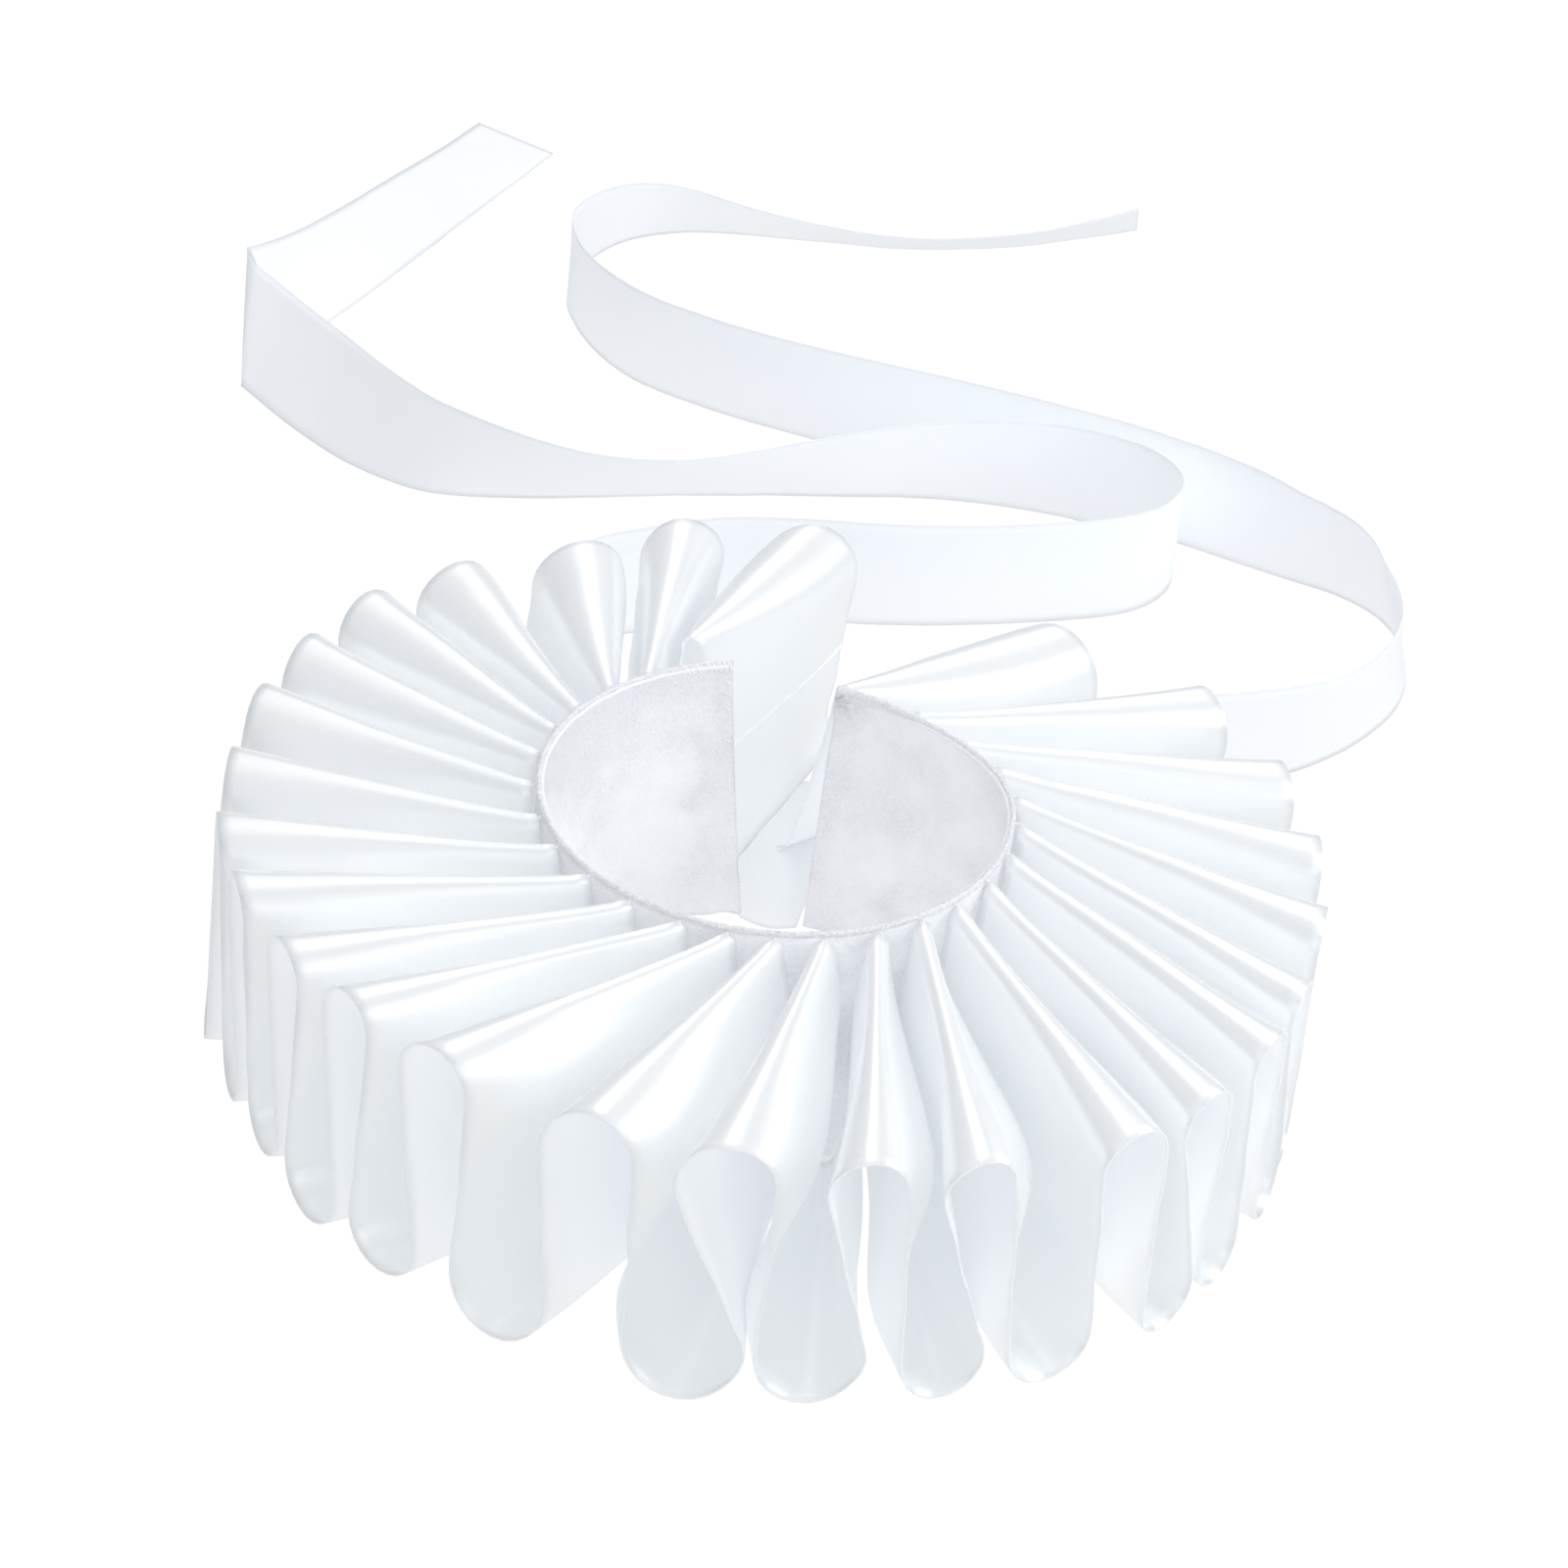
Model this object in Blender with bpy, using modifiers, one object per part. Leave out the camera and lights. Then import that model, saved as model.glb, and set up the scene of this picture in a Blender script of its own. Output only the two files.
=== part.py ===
# Ruff collar: a wide satin ribbon set in deep organ-pipe folds round an upright
# velvet neckband that opens at the back, with a narrow ribbon tie at each end.
#
# Frame: metres, +Z up. The collar stands on z = 0, its front faces -Y, and its opening
# is at the back, towards +Y, where the ties run out. Every piece is modelled round the
# centre of the neck and hangs on one empty, which puts the middle of the whole object,
# ties and all, over the origin. Angles are in degrees, anticlockwise from +X, and run
# on past 360 at the right end.

import math
from collections import namedtuple

import bmesh
import bpy
from mathutils import Vector

MM = 0.001

NECK_CENTRE = Vector((6.4 * MM, -221.4 * MM, 0.0))

# Neckband: a strip of velvet stood on its edge, with a rolled and overcast top
NECK_RADIUS = 60 * MM            # middle of the band's wall
NECKBAND_WALL = 1.6 * MM
NECKBAND_HEIGHT = 71.3 * MM      # up to the rolled edge
LEFT_END_ANGLE = 104.5
RIGHT_END_ANGLE = 435.0
RIGHT_END_CURL = 7.5 * MM        # how far the right end closes in on the neck
CURL_STARTS = 362.0
CURL_ENDS = 415.0
LEFT_END_LEAN = 15 * MM          # how far in the lower corner of each end is
RIGHT_END_LEAN = 9 * MM
LEAN_REACH = 90.0                # degrees from the opening over which the lean dies out
EDGE_ROLL_RADIUS = 1.3 * MM
SEAM_GAP = 0.3 * MM

# Frill: one ribbon, folded over and under all the way round
FRILL_WALL = 1.0 * MM
FRILL_HEIGHT = 71.5 * MM         # middle of the wall, at the top of a fold
FRILL_FOOT = 0.5 * MM            # middle of the wall, at the bottom of a fold
FRILL_STANDOFF = 1.1 * MM        # from the band's outer face to the ribbon's sewn edge
NECK_FOLD_RADIUS = 2.3 * MM      # the folds are pinched in where they are sewn down
TRUMPET = 0.45                   # a slack fold's radius grows by the power 1 + this
EDGE_GRIP = 7                    # the higher this power, the nearer the edge walls bow
OUTER_ROOM = 1.2 * MM            # bowed out, from a wall's middle to midway to the next loop
INNER_ROOM = 2.0 * MM            # bowed in, from a wall's middle to the plane of its fold
HUMP_LENGTH = 0.52               # share of the wall's height that each bow takes

# Ties: ribbon stood on its edge on the surface
TIE_WIDTH = 38 * MM
TIE_WALL = 1.0 * MM
FOLD_LIFT = 0.04                 # a slanting fold stands this share of its slant clear

# One row for each upper fold and the lower fold after it, from the left end round the
# front to the right end. Angles in degrees, lengths in millimetres.
#   neck, tip: where the upper fold starts at the band and where it ends outside
#   reach: from the neck's centre to the tip;  radius: of the round of the fold there
#   belly: how much rounder the fold is half-way than a straight cone
#   slack: how far the walls bow out to lean on the next loop's, from 0 to 1
#   foot, foot_reach, foot_radius: the same for the lower fold's outer end
Loop = namedtuple("Loop", "neck tip reach radius belly slack foot foot_reach foot_radius")
LOOPS = [
    Loop(111.5, 88.5, 141, 13.5, 4.0, 0.0, 98.0, 139, 8.0),
    Loop(127.0, 104.2, 141, 12.0, -1.0, 0.0, 113.5, 139, 8.0),
    Loop(138.5, 118.0, 134, 14.5, 1.5, 0.1, 128.5, 139, 9.0),
    Loop(150.5, 134.2, 138, 13.0, 1.0, 0.4, 142.5, 140, 9.5),
    Loop(161.5, 146.5, 141, 11.8, 0.5, 0.7, 155.0, 140, 9.5),
    Loop(173.5, 158.4, 140, 11.2, 0.5, 0.9, 167.0, 140, 9.5),
    Loop(186.5, 169.8, 139, 10.8, 0.0, 1.0, 179.5, 143, 9.5),
    Loop(200.0, 182.3, 138, 10.0, -0.5, 1.0, 191.5, 144, 9.5),
    Loop(212.0, 194.0, 139, 9.0, -1.0, 1.0, 202.0, 140, 9.0),
    Loop(225.0, 204.0, 138, 8.5, -1.0, 1.0, 211.5, 138, 9.0),
    Loop(238.0, 216.0, 136, 8.5, -1.5, 1.0, 222.5, 139, 10.0),
    Loop(251.0, 226.0, 133, 8.5, -2.0, 1.0, 233.0, 137, 10.5),
    Loop(262.0, 238.0, 132, 10.0, -2.0, 1.0, 247.5, 138, 12.0),
    Loop(272.5, 255.5, 133, 11.0, -1.0, 1.0, 266.5, 141, 13.5),
    Loop(284.0, 269.0, 135, 11.5, -1.0, 1.0, 278.5, 140, 12.5),
    Loop(296.5, 282.0, 139, 9.0, -1.0, 1.0, 291.0, 142, 10.0),
    Loop(308.0, 292.0, 142, 8.5, -1.0, 1.0, 301.5, 145, 11.0),
    Loop(318.5, 307.0, 146, 9.0, -1.0, 1.0, 315.5, 146, 8.5),
    Loop(331.0, 316.0, 146, 8.0, -1.0, 1.0, 324.0, 145, 8.5),
    Loop(343.5, 327.0, 144, 7.5, -1.0, 1.0, 336.0, 144, 8.5),
    Loop(356.5, 336.0, 142, 7.5, -1.0, 0.7, 345.0, 143, 8.5),
    Loop(368.0, 348.5, 140, 9.0, -1.5, 1.0, 358.0, 141, 9.0),
    Loop(380.5, 361.5, 139, 9.5, -1.0, 1.0, 371.0, 140, 9.5),
    Loop(394.0, 375.5, 138, 10.0, -0.5, 1.0, 386.0, 139, 10.0),
    Loop(411.0, 391.5, 135, 10.5, 0.0, 0.7, 403.0, 132, 9.0),
    Loop(434.0, 412.2, 123, 14.0, 4.5, 0.0, 429.0, 137, 8.0),
]
FIRST_NECK_REACH = 75 * MM       # the first upper fold starts well clear of the band
# The ribbon starts with a lower fold, and its last lower fold lies across the opening
START_NECK, START_NECK_REACH = 97.5, 69 * MM
START_TIP, START_REACH, START_RADIUS = 82.5, 142 * MM, 5.5 * MM
LAST_FOOT_NECK, LAST_FOOT_NECK_REACH = 447.7, 75 * MM
LAST_FOOT_NECK_RADIUS = 6 * MM

# Routes of the ties' lower edges: x and y in millimetres, the ribbon's lean to the left
# of its path in degrees, and how far ahead of the lower edge the upper edge is taken.
# The left tie is folded over on a slant, so it is a run up to the fold and a run after.
Station = namedtuple("Station", "x y lean ahead")
LEFT_TIE = [
    Station(-43.8, 37.6, 0, 0), Station(-48, 47.3, 0, 0), Station(-51.8, 66, 0, 0),
    Station(-58, 90, 0, 0), Station(-65, 117, 0, 0), Station(-71, 142, 0, 0),
    Station(-72, 162, 0, 0),
    Station(-64, 178, 0, 0), Station(-48, 189, 0, 0), Station(-27, 200, -1, 0),
    Station(0, 205, -1, 0), Station(30, 208, -2, 0), Station(60, 214, -3, 0),
    Station(90, 223, -3, 0), Station(110, 232, -1, 0), Station(122, 245, 2, 0),
    Station(126, 261, 5, 0), Station(118, 278, 6, 0), Station(101, 289, 7, 0),
    Station(78, 295, 9, 0), Station(43, 296, 18, 0), Station(7, 290, 28, 0),
    Station(-28, 283, 40, 0), Station(-62, 275, 47, 0), Station(-97, 267, 29, 0),
    Station(-128, 265, 4, 0), Station(-155, 276, -32, 4), Station(-180, 297, -44, 16),
    Station(-205, 324.5, -45, 34),
]
LEFT_TIE_END = [
    Station(-205.5, 328, 40, 44), Station(-191, 367, 50, 18), Station(-175, 411, 66, 3),
    Station(-160, 455, 74, 0), Station(-146, 497, 79, 0), Station(-133, 534, 83, 0),
    Station(-122, 567, 85, 5),
]
RIGHT_TIE = [
    Station(14, 50.5, 0, 0), Station(31, 67.5, 0, 0), Station(50, 82, 0, 0),
    Station(73, 98, 0, 0), Station(98, 113, 0, 0), Station(122, 126, -3, 0),
    Station(142, 136, -10, 0), Station(158, 145, -14, 0), Station(172, 157, -11, 0),
    Station(184, 171, -5, 0), Station(194, 187, 9, 0), Station(199.5, 205, 18, 0),
    Station(200.5, 222, 25, 0), Station(198, 237, 26, 0), Station(191, 249, 27, 0),
    Station(180, 258, 14, 0),
    Station(163, 266, 6, 0), Station(132, 281, -3, 0), Station(97, 297, -2, 0),
    Station(62, 311, 1, 0), Station(27, 323, 4, 0), Station(-8, 335, 6, 0),
    Station(-38, 347, 6, 0), Station(-64, 362, 4, 0), Station(-82, 382, 4, 0),
    Station(-94, 405, 5, 0), Station(-100, 431, -2, 0), Station(-96, 461, -17, 0),
    Station(-84, 485, -32, 0), Station(-64, 499, -42, 0), Station(-38, 504, -50, 0),
    Station(-8, 504, -57, 0), Station(24, 505, -61, 0), Station(54, 511, -59, 0),
    Station(85, 523, -54, -6), Station(127, 547, -50, -22),
]

# How finely the surfaces are divided
ARC_STEPS = 3                    # along each round of a fold
WALL_STEPS = 3                   # down each flat wall
FRILL_ROWS = 3
NECKBAND_COLUMNS, NECKBAND_ROWS = 44, 2
ROLL_STEPS = 60
TIE_STEP = 13 * MM
TIE_ROWS = 3
ROUTE_SAMPLES = 2000             # for measuring along a tie's route
DIRECTION_STEP = 0.002           # share of the route each way that gives its direction

FRONT_ANGLE = 270.0
STEEPEST_WALL = 1.2              # radians from upright
BISECTIONS = 40

COLLECTION = "ruff_collar"


def clear_scene():
    for item in list(bpy.data.objects):
        bpy.data.objects.remove(item, do_unlink=True)


def make_material(name, colour, roughness):
    material = bpy.data.materials.new(name)
    material.use_nodes = True
    shader = material.node_tree.nodes["Principled BSDF"]
    shader.inputs["Base Color"].default_value = (*colour, 1.0)
    shader.inputs["Roughness"].default_value = roughness
    shader.inputs["Metallic"].default_value = 0.0
    return material


def add_object(name, data, material, holder):
    item = bpy.data.objects.new(name, data)
    item.data.materials.append(material)
    item.parent = holder
    holder.users_collection[0].objects.link(item)
    return item


def polar(angle, reach):
    turn = math.radians(angle)
    return Vector((reach * math.cos(turn), reach * math.sin(turn)))


def ease(value, start, end):
    share = min(1.0, max(0.0, (value - start) / (end - start)))
    return share * share * (3.0 - 2.0 * share)


def neck_radius(angle):
    """Middle of the neckband's wall at its top edge."""
    return NECK_RADIUS - RIGHT_END_CURL * ease(angle, CURL_STARTS, CURL_ENDS)


def band_lean(angle):
    """How far in the band's lower edge is: nothing round the front, most at the ends."""
    left_side = angle < FRONT_ANGLE
    from_end = angle - LEFT_END_ANGLE if left_side else RIGHT_END_ANGLE - angle
    return (LEFT_END_LEAN if left_side else RIGHT_END_LEAN) * ease(-from_end, -LEAN_REACH, 0.0)


def sheet_object(name, columns, rows, place, wall, material, holder):
    """A flat grid, moved to place(u, v) for u and v from 0 to 1, and given a wall."""
    grid = bmesh.new()
    bmesh.ops.create_grid(grid, x_segments=columns, y_segments=rows, size=1.0)
    for vertex in grid.verts:
        vertex.co = place(0.5 + vertex.co.x / 2.0, 0.5 + vertex.co.y / 2.0)
    mesh = bpy.data.meshes.new(name)
    grid.to_mesh(mesh)
    grid.free()
    item = add_object(name, mesh, material, holder)
    item.modifiers.new("Triangles", "TRIANGULATE").quad_method = "FIXED"
    thicken = item.modifiers.new("Cloth wall", "SOLIDIFY")
    thicken.thickness = wall
    thicken.offset = 0.0
    thicken.use_even_offset = True
    mesh.shade_smooth()
    return item


# ---- neckband ----

def neckband_point(u, v):
    angle = LEFT_END_ANGLE + u * (RIGHT_END_ANGLE - LEFT_END_ANGLE)
    lean = band_lean(angle)
    reach = neck_radius(angle) - lean * (1.0 - v)
    tilt = lean / math.hypot(lean, NECKBAND_HEIGHT)
    bottom = NECKBAND_WALL / 2.0 * tilt
    spot = polar(angle, reach)
    return Vector((spot.x, spot.y, bottom + v * (NECKBAND_HEIGHT - bottom)))


def make_edge_roll(material, holder):
    """The rolled top edge: a round cord that lies along the top of the band."""
    curve = bpy.data.curves.new("neckband_edge_roll", "CURVE")
    curve.dimensions = "3D"
    curve.bevel_depth = EDGE_ROLL_RADIUS
    curve.bevel_resolution = 2
    curve.use_fill_caps = True
    spline = curve.splines.new("POLY")
    spline.points.add(ROLL_STEPS)
    height = NECKBAND_HEIGHT + SEAM_GAP + EDGE_ROLL_RADIUS
    for step, point in enumerate(spline.points):
        angle = LEFT_END_ANGLE + step / ROLL_STEPS * (RIGHT_END_ANGLE - LEFT_END_ANGLE)
        spot = polar(angle, neck_radius(angle))
        point.co = (spot.x, spot.y, height, 1.0)
    return add_object("neckband_edge_roll", curve, material, holder)


# ---- frill ----

# A fold runs straight from its neck end to its tip; a high fold is an upper one
Fold = namedtuple("Fold", "neck neck_reach neck_radius tip reach radius belly slack height")


def sewn_reach(angle):
    return neck_radius(angle) + NECKBAND_WALL / 2.0 + FRILL_STANDOFF


def list_folds():
    folds = [Fold(START_NECK, START_NECK_REACH, NECK_FOLD_RADIUS,
                  START_TIP, START_REACH, START_RADIUS, 0.0, 0.0, FRILL_FOOT)]
    for index, loop in enumerate(LOOPS):
        neck_reach = FIRST_NECK_REACH if index == 0 else sewn_reach(loop.neck)
        folds.append(Fold(loop.neck, neck_reach, NECK_FOLD_RADIUS, loop.tip, loop.reach * MM,
                          loop.radius * MM, loop.belly * MM, loop.slack, FRILL_HEIGHT))
        if index == len(LOOPS) - 1:
            foot_neck = (LAST_FOOT_NECK, LAST_FOOT_NECK_REACH, LAST_FOOT_NECK_RADIUS)
            slack = loop.slack
        else:
            middle = (loop.neck + LOOPS[index + 1].neck) / 2.0
            foot_neck = (middle, sewn_reach(middle), NECK_FOLD_RADIUS)
            slack = (loop.slack + LOOPS[index + 1].slack) / 2.0
        folds.append(Fold(*foot_neck, loop.foot, loop.foot_reach * MM,
                          loop.foot_radius * MM, 0.0, slack, FRILL_FOOT))
    return folds


def fold_at(fold, v):
    """Angle in radians, reach and fold radius at v, from 0 at the neck to 1 at the tip."""
    neck = polar(fold.neck, fold.neck_reach)
    spot = neck.lerp(polar(fold.tip, fold.reach), v)
    turned = math.atan2(neck.x * spot.y - neck.y * spot.x, neck.dot(spot))
    flare = v ** (1.0 + TRUMPET * fold.slack)
    horn = fold.neck_radius + flare * (fold.radius - fold.neck_radius)
    radius = horn + fold.belly * 4.0 * v * (1.0 - v)
    return math.radians(fold.neck) + turned, spot.length, radius


def wall_slope(run, rise, radii):
    """Slope of the flat wall that joins two round folds, from upright, by bisection.

    Each fold turns by a right angle and this slope; run and rise are the distances
    between the middles of the two folds, and radii is the sum of their radii.
    """
    low, high = -STEEPEST_WALL, STEEPEST_WALL
    for _ in range(BISECTIONS):
        slope = (low + high) / 2.0
        spare = radii * math.cos(slope) - run
        needed = math.tan(slope) * (rise - radii * (1.0 + math.sin(slope)))
        if spare > needed:
            low = slope
        else:
            high = slope
    return slope


def half_wave(step, run, rise, upper_radius, lower_radius):
    """Run and drop at a step along round fold, flat wall and round fold."""
    slope = wall_slope(run, rise, upper_radius + lower_radius)
    turn = math.pi / 2.0 + slope
    last = 2 * ARC_STEPS + WALL_STEPS
    if step <= ARC_STEPS:
        angle = turn * step / ARC_STEPS
        return upper_radius * math.sin(angle), upper_radius * (1.0 - math.cos(angle))
    if step >= last - ARC_STEPS:
        angle = turn * (last - step) / ARC_STEPS
        return (run - lower_radius * math.sin(angle),
                rise - lower_radius * (1.0 - math.cos(angle)))
    share = (step - ARC_STEPS) / WALL_STEPS
    top = half_wave(ARC_STEPS, run, rise, upper_radius, lower_radius)
    bottom = half_wave(last - ARC_STEPS, run, rise, upper_radius, lower_radius)
    return (top[0] + share * (bottom[0] - top[0]), top[1] + share * (bottom[1] - top[1]))


def hump(depth, start):
    """Smooth rise and fall over the stretch of depth that begins at start."""
    across = (depth - start) / HUMP_LENGTH
    return math.sin(math.pi * across) ** 2 if 0.0 < across < 1.0 else 0.0


def bowed(along, depth, run, slack):
    """A wall's distance from the upper fold once it bows out above and back in below."""
    out = max(0.0, run - OUTER_ROOM - along) * hump(depth, 0.0)
    back = max(0.0, along - INNER_ROOM) * hump(depth, 1.0 - HUMP_LENGTH)
    return along + slack * (out - back)


def frill_point(folds, column, v):
    """Point of the ribbon at a column of the grid, and v from neck to outer edge."""
    steps = 2 * ARC_STEPS + WALL_STEPS
    index = min(column // steps, len(folds) - 2)
    step = column - index * steps
    first, second = folds[index], folds[index + 1]
    goes_down = first.height > second.height
    upper, lower = (first, second) if goes_down else (second, first)
    upper_angle, upper_reach, upper_radius = fold_at(upper, v)
    lower_angle, lower_reach, lower_radius = fold_at(lower, v)
    middle_reach = (upper_reach + lower_reach) / 2.0
    run = abs(lower_angle - upper_angle) * middle_reach
    rise = upper.height - lower.height
    along, drop = half_wave(step if goes_down else steps - step, run, rise,
                            upper_radius, lower_radius)
    slack = (first.slack + second.slack) / 2.0 * (1.0 - v ** EDGE_GRIP)
    along = bowed(along, drop / rise, run, slack)
    sense = 1.0 if goes_down else -1.0
    angle = upper_angle + sense * along / middle_reach
    reach = upper_reach + (lower_reach - upper_reach) * drop / rise
    return Vector((reach * math.cos(angle), reach * math.sin(angle), upper.height - drop))


def make_frill(material, holder):
    folds = list_folds()
    columns = (len(folds) - 1) * (2 * ARC_STEPS + WALL_STEPS)

    def place(u, v):
        return frill_point(folds, round(u * columns), v)

    return sheet_object("frill_ribbon", columns, FRILL_ROWS, place, FRILL_WALL,
                        material, holder)


# ---- ties ----

def spline_at(stations, share):
    """Station on a smooth curve through the stations, share from 0 to 1 (Catmull-Rom)."""
    place = share * (len(stations) - 1)
    index = min(int(place), len(stations) - 2)
    t = place - index
    before = stations[max(index - 1, 0)]
    after = stations[min(index + 2, len(stations) - 1)]
    values = []
    for a, b, c, d in zip(before, stations[index], stations[index + 1], after):
        values.append(0.5 * (2 * b + (c - a) * t + (2 * a - 5 * b + 4 * c - d) * t * t
                             + (3 * b - a - 3 * c + d) * t ** 3))
    return Station(*values)


def even_shares(stations, step):
    """Shares along the route that are about a step apart on the surface."""
    fine = [index / ROUTE_SAMPLES for index in range(ROUTE_SAMPLES + 1)]
    lengths = [0.0]
    last = spline_at(stations, 0.0)
    for share in fine[1:]:
        here = spline_at(stations, share)
        lengths.append(lengths[-1] + math.hypot(here.x - last.x, here.y - last.y) * MM)
        last = here
    count = round(lengths[-1] / step)
    shares = []
    index = 0
    for number in range(count + 1):
        while index < ROUTE_SAMPLES and lengths[index] < lengths[-1] * number / count:
            index += 1
        shares.append(fine[index])
    return shares


def tie_rung(stations, share):
    """Lower and upper edge of the tie at a share of its route."""
    here = spline_at(stations, share)
    behind = spline_at(stations, max(0.0, share - DIRECTION_STEP))
    ahead = spline_at(stations, min(1.0, share + DIRECTION_STEP))
    along = Vector((ahead.x - behind.x, ahead.y - behind.y, 0.0)).normalized()
    left = Vector((-along.y, along.x, 0.0))
    lean = math.radians(here.lean)
    clear = TIE_WALL / 2.0 * abs(math.sin(lean)) + FOLD_LIFT * abs(here.ahead) * MM
    lower = Vector((here.x * MM, here.y * MM, clear))
    across = (math.cos(lean) * Vector((0.0, 0.0, 1.0)) + math.sin(lean) * left) * TIE_WIDTH
    return lower, lower + across + along * here.ahead * MM


def make_tie(name, runs, material, holder):
    rungs = []
    for stations in runs:
        rungs += [tie_rung(stations, share) for share in even_shares(stations, TIE_STEP)]
    columns = len(rungs) - 1

    def place(u, v):
        lower, upper = rungs[round(u * columns)]
        return lower.lerp(upper, v)

    return sheet_object(name, columns, TIE_ROWS, place, TIE_WALL, material, holder)


def main():
    clear_scene()
    collection = bpy.data.collections.new(COLLECTION)
    bpy.context.scene.collection.children.link(collection)
    holder = bpy.data.objects.new("neck_centre", None)
    holder.location = NECK_CENTRE
    collection.objects.link(holder)
    satin = make_material("white_satin", (0.90, 0.91, 0.93), 0.35)
    velvet = make_material("white_velvet", (0.82, 0.83, 0.84), 0.9)
    overcast = make_material("overcast_edge", (0.85, 0.86, 0.87), 0.8)
    ribbon = make_material("tie_ribbon", (0.91, 0.92, 0.95), 0.4)
    sheet_object("neckband", NECKBAND_COLUMNS, NECKBAND_ROWS, neckband_point,
                 NECKBAND_WALL, velvet, holder)
    make_edge_roll(overcast, holder)
    make_frill(satin, holder)
    make_tie("left_tie", [LEFT_TIE, LEFT_TIE_END], ribbon, holder)
    make_tie("right_tie", [RIGHT_TIE], ribbon, holder)


main()
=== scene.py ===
import math
from collections import namedtuple

import bmesh
import bpy
from mathutils import Matrix, Vector, noise


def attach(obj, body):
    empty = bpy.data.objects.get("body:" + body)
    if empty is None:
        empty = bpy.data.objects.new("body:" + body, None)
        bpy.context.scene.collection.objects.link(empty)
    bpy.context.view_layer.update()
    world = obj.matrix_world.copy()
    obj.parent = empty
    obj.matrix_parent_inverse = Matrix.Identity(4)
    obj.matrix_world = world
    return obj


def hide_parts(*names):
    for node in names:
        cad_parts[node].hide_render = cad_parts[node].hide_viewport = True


mm = 0.001
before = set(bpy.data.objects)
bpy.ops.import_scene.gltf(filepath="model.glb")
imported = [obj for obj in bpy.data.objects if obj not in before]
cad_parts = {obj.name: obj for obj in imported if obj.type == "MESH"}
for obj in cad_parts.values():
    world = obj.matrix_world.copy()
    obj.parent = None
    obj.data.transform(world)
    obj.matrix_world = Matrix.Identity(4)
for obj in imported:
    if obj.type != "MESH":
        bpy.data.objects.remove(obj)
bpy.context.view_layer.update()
neckCentre = Vector((6.4 * mm, -221.4 * mm, 0.0))
upward = Vector((0, 0, 1))
ribbonWidth = 80 * mm
tieWidth = 38 * mm
tiny = 1e-6
print("frame loaded")


def addObject(name, data):
    item = bpy.data.objects.new(name, data)
    bpy.context.scene.collection.objects.link(item)
    return item


def addMesh(name, bm):
    mesh = bpy.data.meshes.new(name)
    bm.to_mesh(mesh)
    bm.free()
    return addObject(name, mesh)


view = {
    "aim": Vector((0.0, 0.0, 74 * mm)),  # middle of the neck, at the rim
    "distance": 739 * mm,
    "elevation": 34.3,
    "roll": 5.75,
    "lens": 67.2,
    "shift": (0.0045, 0.0019),
    "clipStart": 10 * mm,
}


def makeCamera():
    rise = math.radians(view["elevation"])
    aim = neckCentre + view["aim"]
    away = Vector((0.0, -math.cos(rise), math.sin(rise)))
    right = Vector((1.0, 0.0, 0.0))
    up = away.cross(right)
    turn = Matrix.Rotation(math.radians(view["roll"]), 3, away)
    right, up = turn @ right, turn @ up
    camera = addObject("camera", bpy.data.cameras.new("camera"))
    camera.data.lens = view["lens"]
    camera.data.shift_x, camera.data.shift_y = view["shift"]
    camera.data.clip_start = view["clipStart"]
    axes = Matrix((right, up, away)).transposed().to_4x4()
    camera.matrix_world = Matrix.Translation(aim + away * view["distance"]) @ axes
    bpy.context.scene.camera = camera


lights = [
    # name, place from the neck's centre, size across and along, watts, colour
    ("overhead_strip", (0.0, 0.50, 0.88), (0.30, 1.3), 2.2, (0.98, 0.97, 1.0)),
    ("right_softbox", (1.00, -0.10, 0.55), (0.5, 0.6), 3.5, (0.98, 0.99, 1.0)),
    ("front_softbox", (0.25, -1.28, 0.55), (1.5, 0.8), 2.7, (0.99, 1.0, 1.0)),
]
sky = {
    "strength": 0.70,
    "ramp": [  # place on the ramp from low to high, colour
        (0.0, (0.38, 0.41, 0.43)), (0.30, (0.62, 0.65, 0.67)),
        (0.62, (0.95, 0.965, 1.0)), (1.0, (1.0, 1.0, 1.0)),
    ],
}


def makeLights():
    for name, place, size, watts, colour in lights:
        lamp = bpy.data.lights.new(name, "AREA")
        lamp.shape = "RECTANGLE"
        lamp.size, lamp.size_y = size
        lamp.energy = watts
        lamp.color = colour
        item = addObject(name, lamp)
        item.location = neckCentre + Vector(place)
        item.rotation_euler = (-Vector(place)).to_track_quat("-Z", "Y").to_euler()


def makeSky():
    world = bpy.data.worlds.new("studio")
    bpy.context.scene.world = world
    world.use_nodes = True
    tree = world.node_tree
    where = tree.nodes.new("ShaderNodeTexCoord")
    parts = tree.nodes.new("ShaderNodeSeparateXYZ")
    tree.links.new(where.outputs["Generated"], parts.inputs["Vector"])
    blend = tree.nodes.new("ShaderNodeValToRGB")
    tree.links.new(parts.outputs["Z"], blend.inputs["Fac"])
    stops = blend.color_ramp.elements
    below, *between, above = sky["ramp"]
    for stop, (_, colour) in zip(stops, (below, above)):
        stop.color = (*colour, 1.0)
    for height, colour in between:
        stops.new(height).color = (*colour, 1.0)
    shine = tree.nodes["Background"]
    tree.links.new(blend.outputs["Color"], shine.inputs["Color"])
    shine.inputs["Strength"].default_value = sky["strength"]
    bpy.context.scene.view_settings.view_transform = "Standard"


makeCamera()
makeLights()
makeSky()
print("camera and lights made")


def polar(angle, reach):
    # a point round the neck: an angle in degrees and a distance from its centre
    turn = math.radians(angle)
    return Vector((reach * math.cos(turn), reach * math.sin(turn)))


def ease(value, start, end):
    # 0 before start, 1 after end, and a smooth climb between them
    share = min(1.0, max(0.0, (value - start) / (end - start)))
    return share * share * (3.0 - 2.0 * share)


def ripple(x, y, seed):
    return noise.noise(Vector((x, y, seed)))


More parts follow.
